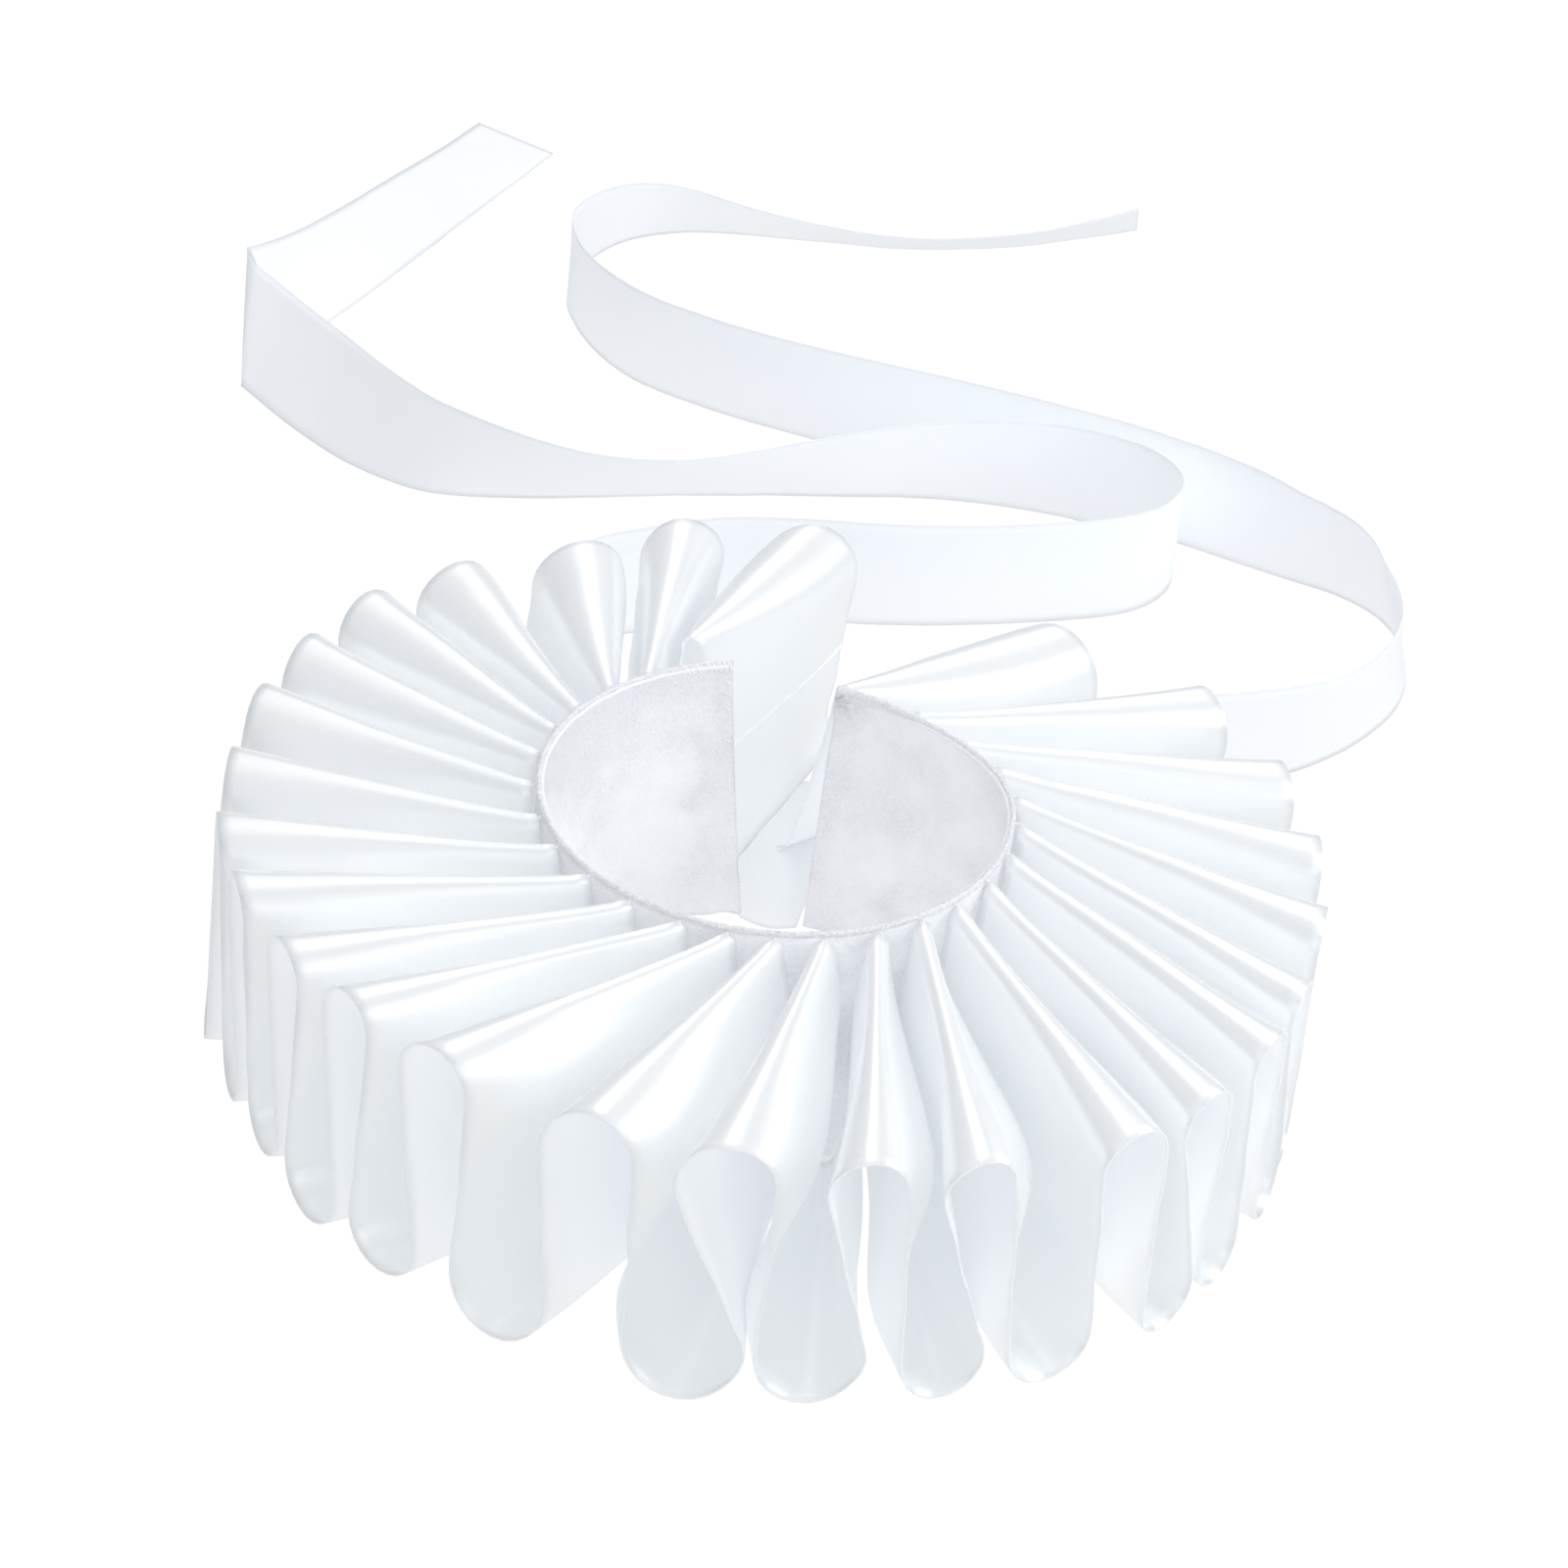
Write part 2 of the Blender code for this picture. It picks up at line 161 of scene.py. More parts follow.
# how fast an unevenness changes each way, and a number that picks its pattern
Grain = namedtuple("Grain", "along across seed")


def unevenness(along, across, grain):
    return ripple(along * grain.along, across * grain.across, grain.seed)


def clothGrid(name, columns, rows, place, layout):
    # a flat grid whose points are moved to place(u, v); layout(u, v) is the cut cloth in metres
    bm = bmesh.new()
    bmesh.ops.create_grid(bm, x_segments=columns, y_segments=rows, size=1.0)
    cloth = bm.loops.layers.uv.new("cloth")
    for face in bm.faces:
        for loop in face.loops:
            spot = loop.vert.co
            loop[cloth].uv = layout(0.5 + spot.x / 2.0, 0.5 + spot.y / 2.0)
    for vertex in bm.verts:
        vertex.co = neckCentre + place(0.5 + vertex.co.x / 2.0, 0.5 + vertex.co.y / 2.0)
    item = addMesh(name, bm)
    item.data.shade_smooth()
    return item


def pushAlongNormals(item, amount):
    # amount(u, v) in metres, read from the cut cloth's layout
    mesh = item.data
    layout = mesh.uv_layers["cloth"].uv
    where = {}
    for loop in mesh.loops:
        where[loop.vertex_index] = layout[loop.index].vector
    normals = [vertex.normal.copy() for vertex in mesh.vertices]
    for index, vertex in enumerate(mesh.vertices):
        vertex.co += normals[index] * amount(*where[index])


tubeReference = Vector((0.31, 0.17, 0.94))  # a direction that no tube runs in


def addBareTube(bm, sides, steps):
    # a capped upright tube of radius 1 and height 1, cut into steps; returns its points
    start = len(bm.verts)
    shape = bmesh.ops.create_cone(bm, cap_ends=True, segments=sides, radius1=1.0, radius2=1.0,
                                  depth=1.0)
    upright = [line for foot in shape["verts"] if foot.co.z < 0.0 for line in foot.link_edges
               if line.other_vert(foot).co.z > 0.0]
    bmesh.ops.subdivide_edges(bm, edges=upright, cuts=steps - 1)
    return list(bm.verts)[start:]


def addTube(bm, path, radius, sides):
    # a capped tube along the path's points; radius(share) is its size on the way
    last = len(path) - 1
    for vertex in addBareTube(bm, sides, last):
        share = vertex.co.z + 0.5
        step = round(share * last)
        along = (path[min(step + 1, last)] - path[max(step - 1, 0)]).normalized()
        side = along.cross(tubeReference).normalized()
        other = side.cross(along)
        size = radius(share)
        vertex.co = path[step] + size * (vertex.co.x * side + vertex.co.y * other)


def finishTubes(bm, name, material):
    bmesh.ops.recalc_face_normals(bm, faces=bm.faces)
    item = addMesh(name, bm)
    item.data.shade_smooth()
    item.data.materials.append(material)
    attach(item, "root")
    return item


def addWall(item, thickness, materials):
    # gives the sheet its thickness, half to each side; a second material covers its other side
    for material in materials:
        item.data.materials.append(material)
    wall = item.modifiers.new("wall", "SOLIDIFY")
    wall.thickness = thickness
    wall.offset = 0.0
    wall.use_even_offset = True
    wall.material_offset = len(materials) - 1


def newGroup(name, inputs, outputs):
    group = bpy.data.node_groups.new(name, "ShaderNodeTree")
    for label, kind, value in inputs:
        socket = group.interface.new_socket(label, in_out="INPUT", socket_type=kind)
        if value is not None:
            socket.default_value = value
    for label, kind in outputs:
        group.interface.new_socket(label, in_out="OUTPUT", socket_type=kind)
    return group, group.nodes.new("NodeGroupInput"), group.nodes.new("NodeGroupOutput")


def setInputs(node, values):
    for name, value in values.items():
        node.inputs[name].default_value = value


def addNode(tree, kind, settings=(), values=()):
    node = tree.nodes.new(kind)
    for name, value in dict(settings).items():
        setattr(node, name, value)
    setInputs(node, dict(values))
    return node


def addMath(tree, operation, *given):
    # each given value is a number or the output of another node
    node = addNode(tree, "ShaderNodeMath", {"operation": operation})
    for socket, value in zip(node.inputs, given):
        if isinstance(value, float):
            socket.default_value = value
        else:
            tree.links.new(value, socket)
    return node.outputs["Value"]


def makeGrainGroup():
    # fine thread grain and broad mottling; the layout runs along the ribbon in metres
    group, given, result = newGroup(
        "threadGrain",
        [("Layout", "NodeSocketVector", None), ("Threads", "NodeSocketFloat", 2600.0),
         ("Patches", "NodeSocketFloat", 55.0), ("Stretch", "NodeSocketFloat", 0.25)],
        [("Grain", "NodeSocketFloat"), ("Mottle", "NodeSocketFloat")])
    link = group.links.new
    squeeze = addNode(group, "ShaderNodeCombineXYZ", values={"Y": 1.0, "Z": 1.0})
    link(given.outputs["Stretch"], squeeze.inputs["X"])
    drawn = addNode(group, "ShaderNodeVectorMath", {"operation": "MULTIPLY"})
    link(given.outputs["Layout"], drawn.inputs[0])
    link(squeeze.outputs["Vector"], drawn.inputs[1])
    fine = addNode(group, "ShaderNodeTexNoise", values={"Detail": 2.0, "Roughness": 0.6})
    link(drawn.outputs["Vector"], fine.inputs["Vector"])
    link(given.outputs["Threads"], fine.inputs["Scale"])
    broad = addNode(group, "ShaderNodeTexNoise", values={"Detail": 3.0, "Roughness": 0.55})
    link(given.outputs["Layout"], broad.inputs["Vector"])
    link(given.outputs["Patches"], broad.inputs["Scale"])
    link(fine.outputs["Fac"], result.inputs["Grain"])
    link(broad.outputs["Fac"], result.inputs["Mottle"])
    return group


def makeSelvedgeGroup():
    # dotted woven edge: Line is 1 along the edges, Dots is 1 between its picots, and
    # Hidden above 0 leaves out the edge where the layout starts
    group, given, result = newGroup(
        "selvedgeDots",
        [("Layout", "NodeSocketVector", None), ("Width", "NodeSocketFloat", 0.08),
         ("Pitch", "NodeSocketFloat", 0.0012), ("Edge", "NodeSocketFloat", 0.0016),
         ("Hidden", "NodeSocketFloat", 0.0)],
        [("Line", "NodeSocketFloat"), ("Dots", "NodeSocketFloat")])
    link = group.links.new
    parts = addNode(group, "ShaderNodeSeparateXYZ")
    link(given.outputs["Layout"], parts.inputs["Vector"])
    outer = addMath(group, "SUBTRACT", given.outputs["Width"], parts.outputs["Y"])
    inner = addMath(group, "ADD", parts.outputs["Y"], given.outputs["Hidden"])
    nearest = addMath(group, "MINIMUM", outer, inner)
    line = addMath(group, "LESS_THAN", nearest, given.outputs["Edge"])
    steps = addMath(group, "DIVIDE", parts.outputs["X"], given.outputs["Pitch"])
    wave = addMath(group, "PINGPONG", steps, 0.5)
    dot = addMath(group, "GREATER_THAN", wave, 0.27)
    link(line, result.inputs["Line"])
    link(addMath(group, "MULTIPLY", dot, line), result.inputs["Dots"])
    return group


grainGroup = makeGrainGroup()
selvedgeGroup = makeSelvedgeGroup()


def placeGroup(tree, group, values):
    return addNode(tree, "ShaderNodeGroup", {"node_tree": group}, values)


def mixColour(tree, factor, low, high):
    mix = addNode(tree, "ShaderNodeMix", {"data_type": "RGBA"})
    tree.links.new(factor, mix.inputs["Factor"])
    for value, socket in ((low, mix.inputs["A"]), (high, mix.inputs["B"])):
        if isinstance(value, tuple):
            socket.default_value = (*value, 1.0)
        else:
            tree.links.new(value, socket)
    return mix.outputs["Result"]


def newMaterial(name):
    material = bpy.data.materials.new(name)
    material.use_nodes = True
    tree = material.node_tree
    return material, tree, tree.nodes["Principled BSDF"]


def speckleOver(tree, colour, grain, amount):
    # darkens the colour by up to the amount where the grain is low
    strength = addNode(tree, "ShaderNodeMapRange", values={
        "From Min": 0.3, "From Max": 0.7, "To Min": 1.0 - amount, "To Max": 1.0})
    tree.links.new(grain, strength.inputs["Value"])
    mix = addNode(tree, "ShaderNodeMix", {"data_type": "RGBA", "blend_type": "MULTIPLY"},
                  {"Factor": 1.0})
    tree.links.new(colour, mix.inputs["A"])
    tree.links.new(strength.outputs["Result"], mix.inputs["B"])
    return mix.outputs["Result"]


def addBump(tree, shader, height, strength, distance):
    bump = addNode(tree, "ShaderNodeBump", values={"Strength": strength, "Distance": distance})
    tree.links.new(height, bump.inputs["Height"])
    tree.links.new(bump.outputs["Normal"], shader.inputs["Normal"])


def ribbonMaterial(name, look):
    material, tree, shader = newMaterial(name)
    link = tree.links.new
    layout = addNode(tree, "ShaderNodeUVMap", {"uv_map": "cloth"})
    grain = placeGroup(tree, grainGroup, {
        "Threads": look["threads"], "Patches": look["patches"], "Stretch": look["stretch"]})
    link(layout.outputs["UV"], grain.inputs["Layout"])
    selvedge = placeGroup(tree, selvedgeGroup, {
        "Width": look["width"], "Pitch": look["pitch"], "Edge": look["edge"],
        "Hidden": look["hidden"]})
    link(layout.outputs["UV"], selvedge.inputs["Layout"])
    body = mixColour(tree, grain.outputs["Mottle"], look["shade"], look["colour"])
    speckled = speckleOver(tree, body, grain.outputs["Grain"], look["speckle"])
    edged = mixColour(tree, selvedge.outputs["Dots"], speckled, look["dotsAndEdgeShade"])
    # painted shade: where the cloth turns away from the eye it is darkened towards the dots'
    # colour, as far as rim allows, standing in for the dark reflection along each crest's edge
    grazing = addNode(tree, "ShaderNodeLayerWeight", values={"Blend": 0.5})
    turned = addNode(tree, "ShaderNodeMapRange", {"interpolation_type": "SMOOTHSTEP"}, {
        "From Min": 0.72, "From Max": 1.0, "To Min": 0.0, "To Max": look["rim"]})
    link(grazing.outputs["Facing"], turned.inputs["Value"])
    edgeShaded = mixColour(tree, turned.outputs["Result"], edged, look["dotsAndEdgeShade"])
    link(edgeShaded, shader.inputs["Base Color"])
    rough = addNode(tree, "ShaderNodeMapRange", values={
        "To Min": look["roughness"] - 0.05, "To Max": look["roughness"] + 0.05})
    link(grain.outputs["Mottle"], rough.inputs["Value"])
    link(rough.outputs["Result"], shader.inputs["Roughness"])
    height = addMath(tree, "SUBTRACT", grain.outputs["Grain"], selvedge.outputs["Dots"])
    addBump(tree, shader, height, look["bump"], 0.12 * mm)
    across = addNode(tree, "ShaderNodeTangent", {"direction_type": "UV_MAP", "uv_map": "cloth"})
    link(across.outputs["Tangent"], shader.inputs["Tangent"])
    # the emission is painted light: a faint glow standing in for light that bounces into the
    # folds and through the thin satin
    setInputs(shader, {
        "Specular IOR Level": look["specular"], "Metallic": look["metallic"],
        "Emission Color": (0.93, 0.96, 1.0, 1.0), "Emission Strength": look["glow"],
        "Subsurface Weight": look["translucency"], "Subsurface Radius": (1.0, 1.0, 1.0),
        "Subsurface Scale": 2.0 * mm,
        "Anisotropic": look["streak"], "Anisotropic Rotation": 0.25,
        "Sheen Weight": look["sheen"], "Sheen Roughness": 0.4})
    return material


# lengths in metres; threads and patches for each metre
# rim is how strongly each ribbon takes the painted edge shade, and glow is a painted glow
# standing in for fill light
wideRibbon = {
    "dotsAndEdgeShade": (0.82, 0.84, 0.875), "threads": 2400.0, "patches": 45.0,
    "width": ribbonWidth, "pitch": 1.0 * mm, "edge": 1.1 * mm, "hidden": 1.0}
dullSide = {
    "roughness": 0.62, "bump": 0.3, "specular": 0.3, "metallic": 0.0, "sheen": 0.1, "streak": 0.0}
satinFace = ribbonMaterial("satin_face", {
    **wideRibbon, "colour": (0.945, 0.962, 0.966), "shade": (0.925, 0.942, 0.950),
    "stretch": 0.35, "speckle": 0.10, "rim": 0.7, "roughness": 0.42, "bump": 0.15,
    "specular": 0.6, "metallic": 0.42, "sheen": 0.05, "streak": 0.8, "translucency": 0.3,
    "glow": 0.145})
satinBack = ribbonMaterial("satin_back", {
    **wideRibbon, **dullSide, "colour": (0.945, 0.96, 0.97), "shade": (0.93, 0.945, 0.96),
    "stretch": 0.8, "speckle": 0.09, "rim": 0.7, "translucency": 0.5, "glow": 0.145})
# a darker copy of the dull side with less glow: painted shade for the last fold, which lies flat
# in the opening
satinInShade = ribbonMaterial("satin_painted_shade", {
    **wideRibbon, **dullSide, "colour": (0.93, 0.95, 0.96), "shade": (0.875, 0.895, 0.91),
    "stretch": 0.8, "speckle": 0.07, "rim": 0.3, "translucency": 0.3, "glow": 0.10})
tieSatin = ribbonMaterial("tie_satin", {
    "colour": (0.92, 0.94, 0.97), "shade": (0.89, 0.915, 0.955), "dotsAndEdgeShade": (0.74, 0.77, 0.82),
    "threads": 2400.0, "patches": 30.0, "stretch": 0.4, "speckle": 0.05,
    "width": tieWidth, "pitch": 0.9 * mm, "edge": 0.7 * mm, "hidden": 0.0, "rim": 0.7,
    "roughness": 0.42, "bump": 0.08, "specular": 0.4, "metallic": 0.0, "sheen": 0.1,
    "streak": 0.0, "translucency": 0.15, "glow": 0.17})


# the velvet is darker near the rim and lighter further down over the band's left part, and this
# fades out along the band, measured from the left end
rimDarkening = {"darkAt": 64 * mm, "lightAt": 30 * mm, "lighter": 0.45,
               "fadesFrom": 60 * mm, "fadesTo": 170 * mm}


def darkenNearRim(tree, patches, amount):
    if amount == 0.0:
        return patches
    cut = addNode(tree, "ShaderNodeUVMap", {"uv_map": "cloth"})
    parts = addNode(tree, "ShaderNodeSeparateXYZ")
    tree.links.new(cut.outputs["UV"], parts.inputs["Vector"])
    strength = addNode(tree, "ShaderNodeMapRange", values={
        "From Min": rimDarkening["darkAt"], "From Max": rimDarkening["lightAt"],
        "To Min": -amount, "To Max": amount * rimDarkening["lighter"]})
    tree.links.new(parts.outputs["Y"], strength.inputs["Value"])
    reach = addNode(tree, "ShaderNodeMapRange", values={
        "From Min": rimDarkening["fadesTo"], "From Max": rimDarkening["fadesFrom"]})
    tree.links.new(parts.outputs["X"], reach.inputs["Value"])
    rimDark = addMath(tree, "MULTIPLY_ADD", strength.outputs["Result"], reach.outputs["Result"],
                      patches)
    rimDark.node.use_clamp = True
    return rimDark


def plushMaterial(name, look):
    # crushed pile: patches that lie different ways catch more or less light
    material, tree, shader = newMaterial(name)
    link = tree.links.new
    place = addNode(tree, "ShaderNodeTexCoord").outputs["Object"]
    warp = addNode(tree, "ShaderNodeTexNoise", values={"Scale": 45.0, "Detail": 2.0})
    link(place, warp.inputs["Vector"])
    offset = addNode(tree, "ShaderNodeVectorMath", {"operation": "SCALE"}, {"Scale": 0.02})
    link(warp.outputs["Color"], offset.inputs[0])
    bent = addNode(tree, "ShaderNodeVectorMath", {"operation": "ADD"})
    link(place, bent.inputs[0])
    link(offset.outputs["Vector"], bent.inputs[1])
    patch = addNode(tree, "ShaderNodeTexNoise", values={
        "Scale": look["patches"], "Detail": 4.0, "Roughness": 0.5})
    link(bent.outputs["Vector"], patch.inputs["Vector"])
    spread = addNode(tree, "ShaderNodeMapRange", values={"From Min": 0.26, "From Max": 0.64})
    link(patch.outputs["Fac"], spread.inputs["Value"])
    tuft = addNode(tree, "ShaderNodeTexNoise", values={
        "Scale": look["tufts"], "Detail": 2.0, "Roughness": 0.7})
    link(place, tuft.inputs["Vector"])
    lit = darkenNearRim(tree, spread.outputs["Result"], look["rimDark"])
    base = mixColour(tree, lit, look["shade"], look["colour"])
    tinted = speckleOver(tree, base, tuft.outputs["Fac"], look["speckle"])
    link(tinted, shader.inputs["Base Color"])
    height = addMath(tree, "MULTIPLY_ADD", patch.outputs["Fac"], 4.0, tuft.outputs["Fac"])
    addBump(tree, shader, height, look["bump"], 0.6 * mm)
    # the emission is painted light: a faint glow standing in for fill light on the pile, the roll
    # and the thread
    setInputs(shader, {
        "Emission Color": (0.95, 0.95, 1.0, 1.0), "Emission Strength": look["glow"],
        "Roughness": look["roughness"], "Specular IOR Level": 0.3,
        "Sheen Weight": look["sheen"], "Sheen Roughness": 0.35})
    return material


velvet = plushMaterial("crushed_velvet", {
    "colour": (0.975, 0.985, 1.0), "shade": (0.79, 0.80, 0.825), "patches": 52.0,
    "rimDark": 0.8, "glow": 0.15, "tufts": 1400.0, "speckle": 0.13, "bump": 0.6,
    "roughness": 0.75, "sheen": 0.5})
edgeCloth = plushMaterial("rolled_edge_cloth", {
    "colour": (0.96, 0.965, 0.98), "shade": (0.79, 0.80, 0.825), "patches": 700.0,
    "rimDark": 0.0, "glow": 0.13, "tufts": 1900.0, "speckle": 0.24, "bump": 0.35,
    "roughness": 0.8, "sheen": 0.2})
thread = plushMaterial("sewing_thread", {
    "colour": (0.98, 0.98, 1.0), "shade": (0.84, 0.85, 0.88), "patches": 1800.0,
    "rimDark": 0.0, "glow": 0.15, "tufts": 5200.0, "speckle": 0.1, "bump": 0.2,
    "roughness": 0.5, "sheen": 0.1})
print("materials made")


band = {
    "radius": 60 * mm, "height": 72.4 * mm, "wall": 1.3 * mm, "length": 346 * mm,
    "leftEnd": 104.5, "front": 270.0, "rightEnd": 435.0,  # degrees round the neck
    "curl": 7.5 * mm, "curlStarts": 362.0, "curlEnds": 415.0,
    "leftLean": 15 * mm, "rightLean": 9 * mm, "leanReach": 90.0,
    "footTurn": 6.0, "footTurnReach": 0.12, "footTurnPower": 1.6,
    "hem": 3.8 * mm, "hemStep": 0.6 * mm, "hemLift": 0.35 * mm,
    "columns": 300, "rows": 64,
}
crush = {
    "depth": 0.75 * mm, "dents": Grain(42, 42, 3.1), "smallDents": Grain(130, 130, 7.7),
    "gathered": 0.35, "gathers": Grain(260, 0, 1.3), "gathersFrom": 0.8,
    "ridge": 1.3 * mm, "puckers": 13.0, "puckerTurn": 0.6, "puckerReach": 15 * mm,
    "slackRidges": 420.0, "slackReach": 14 * mm,
    "frayed": 0.5, "fray": Grain(300, 0, 8.0), "frayReach": 5 * mm,
}


def neckRadius(angle):
    return band["radius"] - band["curl"] * ease(angle, band["curlStarts"], band["curlEnds"])


def bandLean(angle):
    onLeft = angle < band["front"]
    fromEnd = angle - band["leftEnd"] if onLeft else band["rightEnd"] - angle
    most = band["leftLean"] if onLeft else band["rightLean"]
    return most * ease(-fromEnd, -band["leanReach"], 0.0)


def bandAngle(u):
    return band["leftEnd"] + u * (band["rightEnd"] - band["leftEnd"])


def bandPoint(u, v):
    # the left end's lower corner swings out a little way across the opening
    angle = bandAngle(u)
    lean = bandLean(angle)
    nearEnd = 1.0 - ease(u, 0.0, band["footTurnReach"])
    angle -= band["footTurn"] * (1.0 - v) ** band["footTurnPower"] * nearEnd
    spot = polar(angle, neckRadius(angle) - lean * (1.0 - v))
    tilt = lean / math.hypot(lean, band["height"])
    bottom = band["wall"] / 2.0 * tilt
    return Vector((spot.x, spot.y, bottom + v * (band["height"] - bottom)))


def bandLayout(u, v):
    return (u * band["length"], v * band["height"])


def bandCrush(along, up):
    # soft dents all over, puckers from the right end's upper corner, a slack lower left
    # corner, and a hem turned in along each end
    toEnd, down = band["length"] - along, band["height"] - up
    dents = (unevenness(along, up, crush["dents"])
             + 0.5 * unevenness(along, up, crush["smallDents"]))
    gathers = (crush["gathered"] * unevenness(along, up, crush["gathers"])
               * ease(up / band["height"], crush["gathersFrom"], 1.0))
    swing = math.atan2(toEnd, down + tiny)
    pucker = (math.sin(swing * crush["puckers"] + crush["puckerTurn"])
              * math.exp(-math.hypot(toEnd, down) / crush["puckerReach"]))
    slack = (math.sin((along - up) * crush["slackRidges"])
             * math.exp(-math.hypot(along, up) / crush["slackReach"]))
    fromEnd = min(along, toEnd)
    hemmed = 1.0 - ease(fromEnd, band["hem"] - band["hemStep"], band["hem"] + band["hemStep"])
    frayed = (crush["frayed"] * unevenness(up, 0.0, crush["fray"])
              * (1.0 - ease(fromEnd, 0.0, crush["frayReach"])))
    return (crush["depth"] * (dents + gathers) + crush["ridge"] * (pucker + slack)
            + band["hemLift"] * (frayed - hemmed))


neckband = clothGrid("velvet_neckband", band["columns"], band["rows"], bandPoint, bandLayout)
pushAlongNormals(neckband, bandCrush)
addWall(neckband, band["wall"], [velvet])
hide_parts("neckband")
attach(neckband, "root")
print("neckband made")


frill = {
    "height": 71.5 * mm, "foot": 0.4 * mm, "wall": 0.45 * mm, "width": ribbonWidth,
    "standoff": 1.9 * mm, "neckRadius": 2.3 * mm, "trumpet": 0.7, "edgeGrip": 7,
    "outerRoom": 1.0 * mm, "innerRoom": 0.9 * mm, "humpLength": 0.52, "nearOut": 0.45,
    "neckLift": 1.3 * mm, "neckLiftFade": 8, "sway": 2.4 * mm, "firstNeckReach": 75 * mm,
    "steps": 26, "rows": 26, "trailSteps": 40, "steepest": 1.2, "halvings": 40,
    # the lower folds on either side of the opening
    "startNeck": 97.5, "startNeckReach": 69 * mm, "startTip": 82.5, "startReach": 142 * mm,
    "startRadius": 5.5 * mm,
    "endNeck": 448.8, "endNeckReach": 75 * mm, "endNeckRadius": 2.4 * mm,
    # how far the cloth leaves the ideal fold, and how finely
    "gather": 0.60 * mm, "gathers": Grain(330, 18, 5.0),
    "slack": 0.8 * mm, "slackWaves": Grain(26, 20, 9.0),
    "flutter": 0.70 * mm, "flutterWaves": Grain(90, 30, 2.0),
}
# angles in degrees and lengths in millimetres: each upper fold, then the lower fold after it
Loop = namedtuple("Loop", "neck tip reach radius belly slack foot footReach footRadius")
loops = [
    Loop(111.5, 88.5, 141, 13.5, 4.0, 0.0, 98.0, 139, 8.0),
    Loop(127.0, 104.2, 141, 12.0, -1.0, 0.0, 113.5, 139, 8.0),
    Loop(138.5, 118.0, 134, 14.5, 1.5, 0.1, 128.5, 139, 9.0),
    Loop(150.5, 134.2, 138, 13.0, 1.0, 0.4, 142.5, 140, 9.5),
    Loop(161.5, 146.5, 141, 11.8, 0.5, 0.7, 155.0, 140, 9.5),
    Loop(173.5, 158.4, 140, 11.2, 0.5, 0.9, 167.0, 140, 9.5),
    Loop(186.5, 169.8, 139, 10.8, 0.0, 1.0, 179.5, 143, 9.5),
    Loop(200.0, 182.3, 138, 10.0, -0.5, 1.0, 191.5, 144, 9.5),
    Loop(212.0, 194.0, 139, 9.0, -1.0, 1.0, 202.0, 140, 9.0),
    Loop(225.0, 204.0, 138, 8.5, -1.0, 1.0, 211.5, 138, 9.0),
    Loop(238.0, 216.0, 136, 8.5, -1.5, 1.0, 222.5, 139, 10.0),
    Loop(251.0, 226.0, 133, 8.5, -2.0, 1.0, 233.0, 137, 10.5),
    Loop(262.0, 238.0, 132, 10.0, -2.0, 1.0, 247.5, 138, 12.0),
    Loop(272.5, 255.5, 133, 11.0, -1.0, 1.0, 266.5, 141, 13.5),
    Loop(284.0, 269.0, 135, 11.5, -1.0, 1.0, 278.5, 140, 12.5),
    Loop(296.5, 282.0, 139, 9.0, -1.0, 1.0, 291.0, 142, 10.0),
    Loop(308.0, 292.0, 142, 8.5, -1.0, 1.0, 301.5, 145, 11.0),
    Loop(318.5, 307.0, 146, 9.0, -1.0, 1.0, 315.5, 146, 8.5),
    Loop(331.0, 316.0, 146, 8.0, -1.0, 1.0, 324.0, 145, 8.5),
    Loop(343.5, 327.0, 144, 7.5, -1.0, 1.0, 336.0, 144, 8.5),
    Loop(356.5, 336.0, 142, 7.5, -1.0, 0.7, 345.0, 143, 8.5),
    Loop(368.0, 348.5, 140, 9.0, -1.5, 1.0, 358.0, 141, 9.0),
    Loop(380.5, 361.5, 139, 9.5, -1.0, 1.0, 371.0, 140, 9.5),
    Loop(394.0, 375.5, 138, 10.0, -0.5, 1.0, 386.0, 139, 10.0),
    Loop(411.0, 391.5, 135, 10.5, 0.0, 0.7, 403.0, 132, 9.0),
    Loop(434.0, 412.2, 123, 14.0, 4.5, 0.0, 429.0, 137, 8.0),
]
Fold = namedtuple("Fold", "neck neckReach neckRadius tip reach radius belly slack height")


def sewnReach(angle):
    return neckRadius(angle) + frill["standoff"]


def listFolds():
    folds = [Fold(frill["startNeck"], frill["startNeckReach"], frill["neckRadius"],
                  frill["startTip"], frill["startReach"], frill["startRadius"], 0.0, 0.0,
                  frill["foot"])]
    for index, loop in enumerate(loops):
        neckReach = frill["firstNeckReach"] if index == 0 else sewnReach(loop.neck)
        folds.append(Fold(loop.neck, neckReach, frill["neckRadius"], loop.tip,
                          loop.reach * mm, loop.radius * mm, loop.belly * mm, loop.slack,
                          frill["height"]))
        if index == len(loops) - 1:
            lower = (frill["endNeck"], frill["endNeckReach"], frill["endNeckRadius"])
            slack = loop.slack
        else:
            middle = (loop.neck + loops[index + 1].neck) / 2.0
            lower = (middle, sewnReach(middle), frill["neckRadius"])
            slack = (loop.slack + loops[index + 1].slack) / 2.0
        folds.append(Fold(*lower, loop.foot, loop.footReach * mm, loop.footRadius * mm,
                          0.0, slack, frill["foot"]))
    return folds


folds = listFolds()


def foldAt(fold, v):
    # the fold's direction, reach and radius at v, from the sewn edge to the outer edge
    neck = polar(fold.neck, fold.neckReach)
    spot = neck.lerp(polar(fold.tip, fold.reach), v)
    turned = math.atan2(neck.x * spot.y - neck.y * spot.x, neck.dot(spot))
    flare = v ** (1.0 + frill["trumpet"] * fold.slack)
    radius = fold.neckRadius + flare * (fold.radius - fold.neckRadius)
    return math.radians(fold.neck) + turned, spot.length, radius + fold.belly * 4 * v * (1 - v)


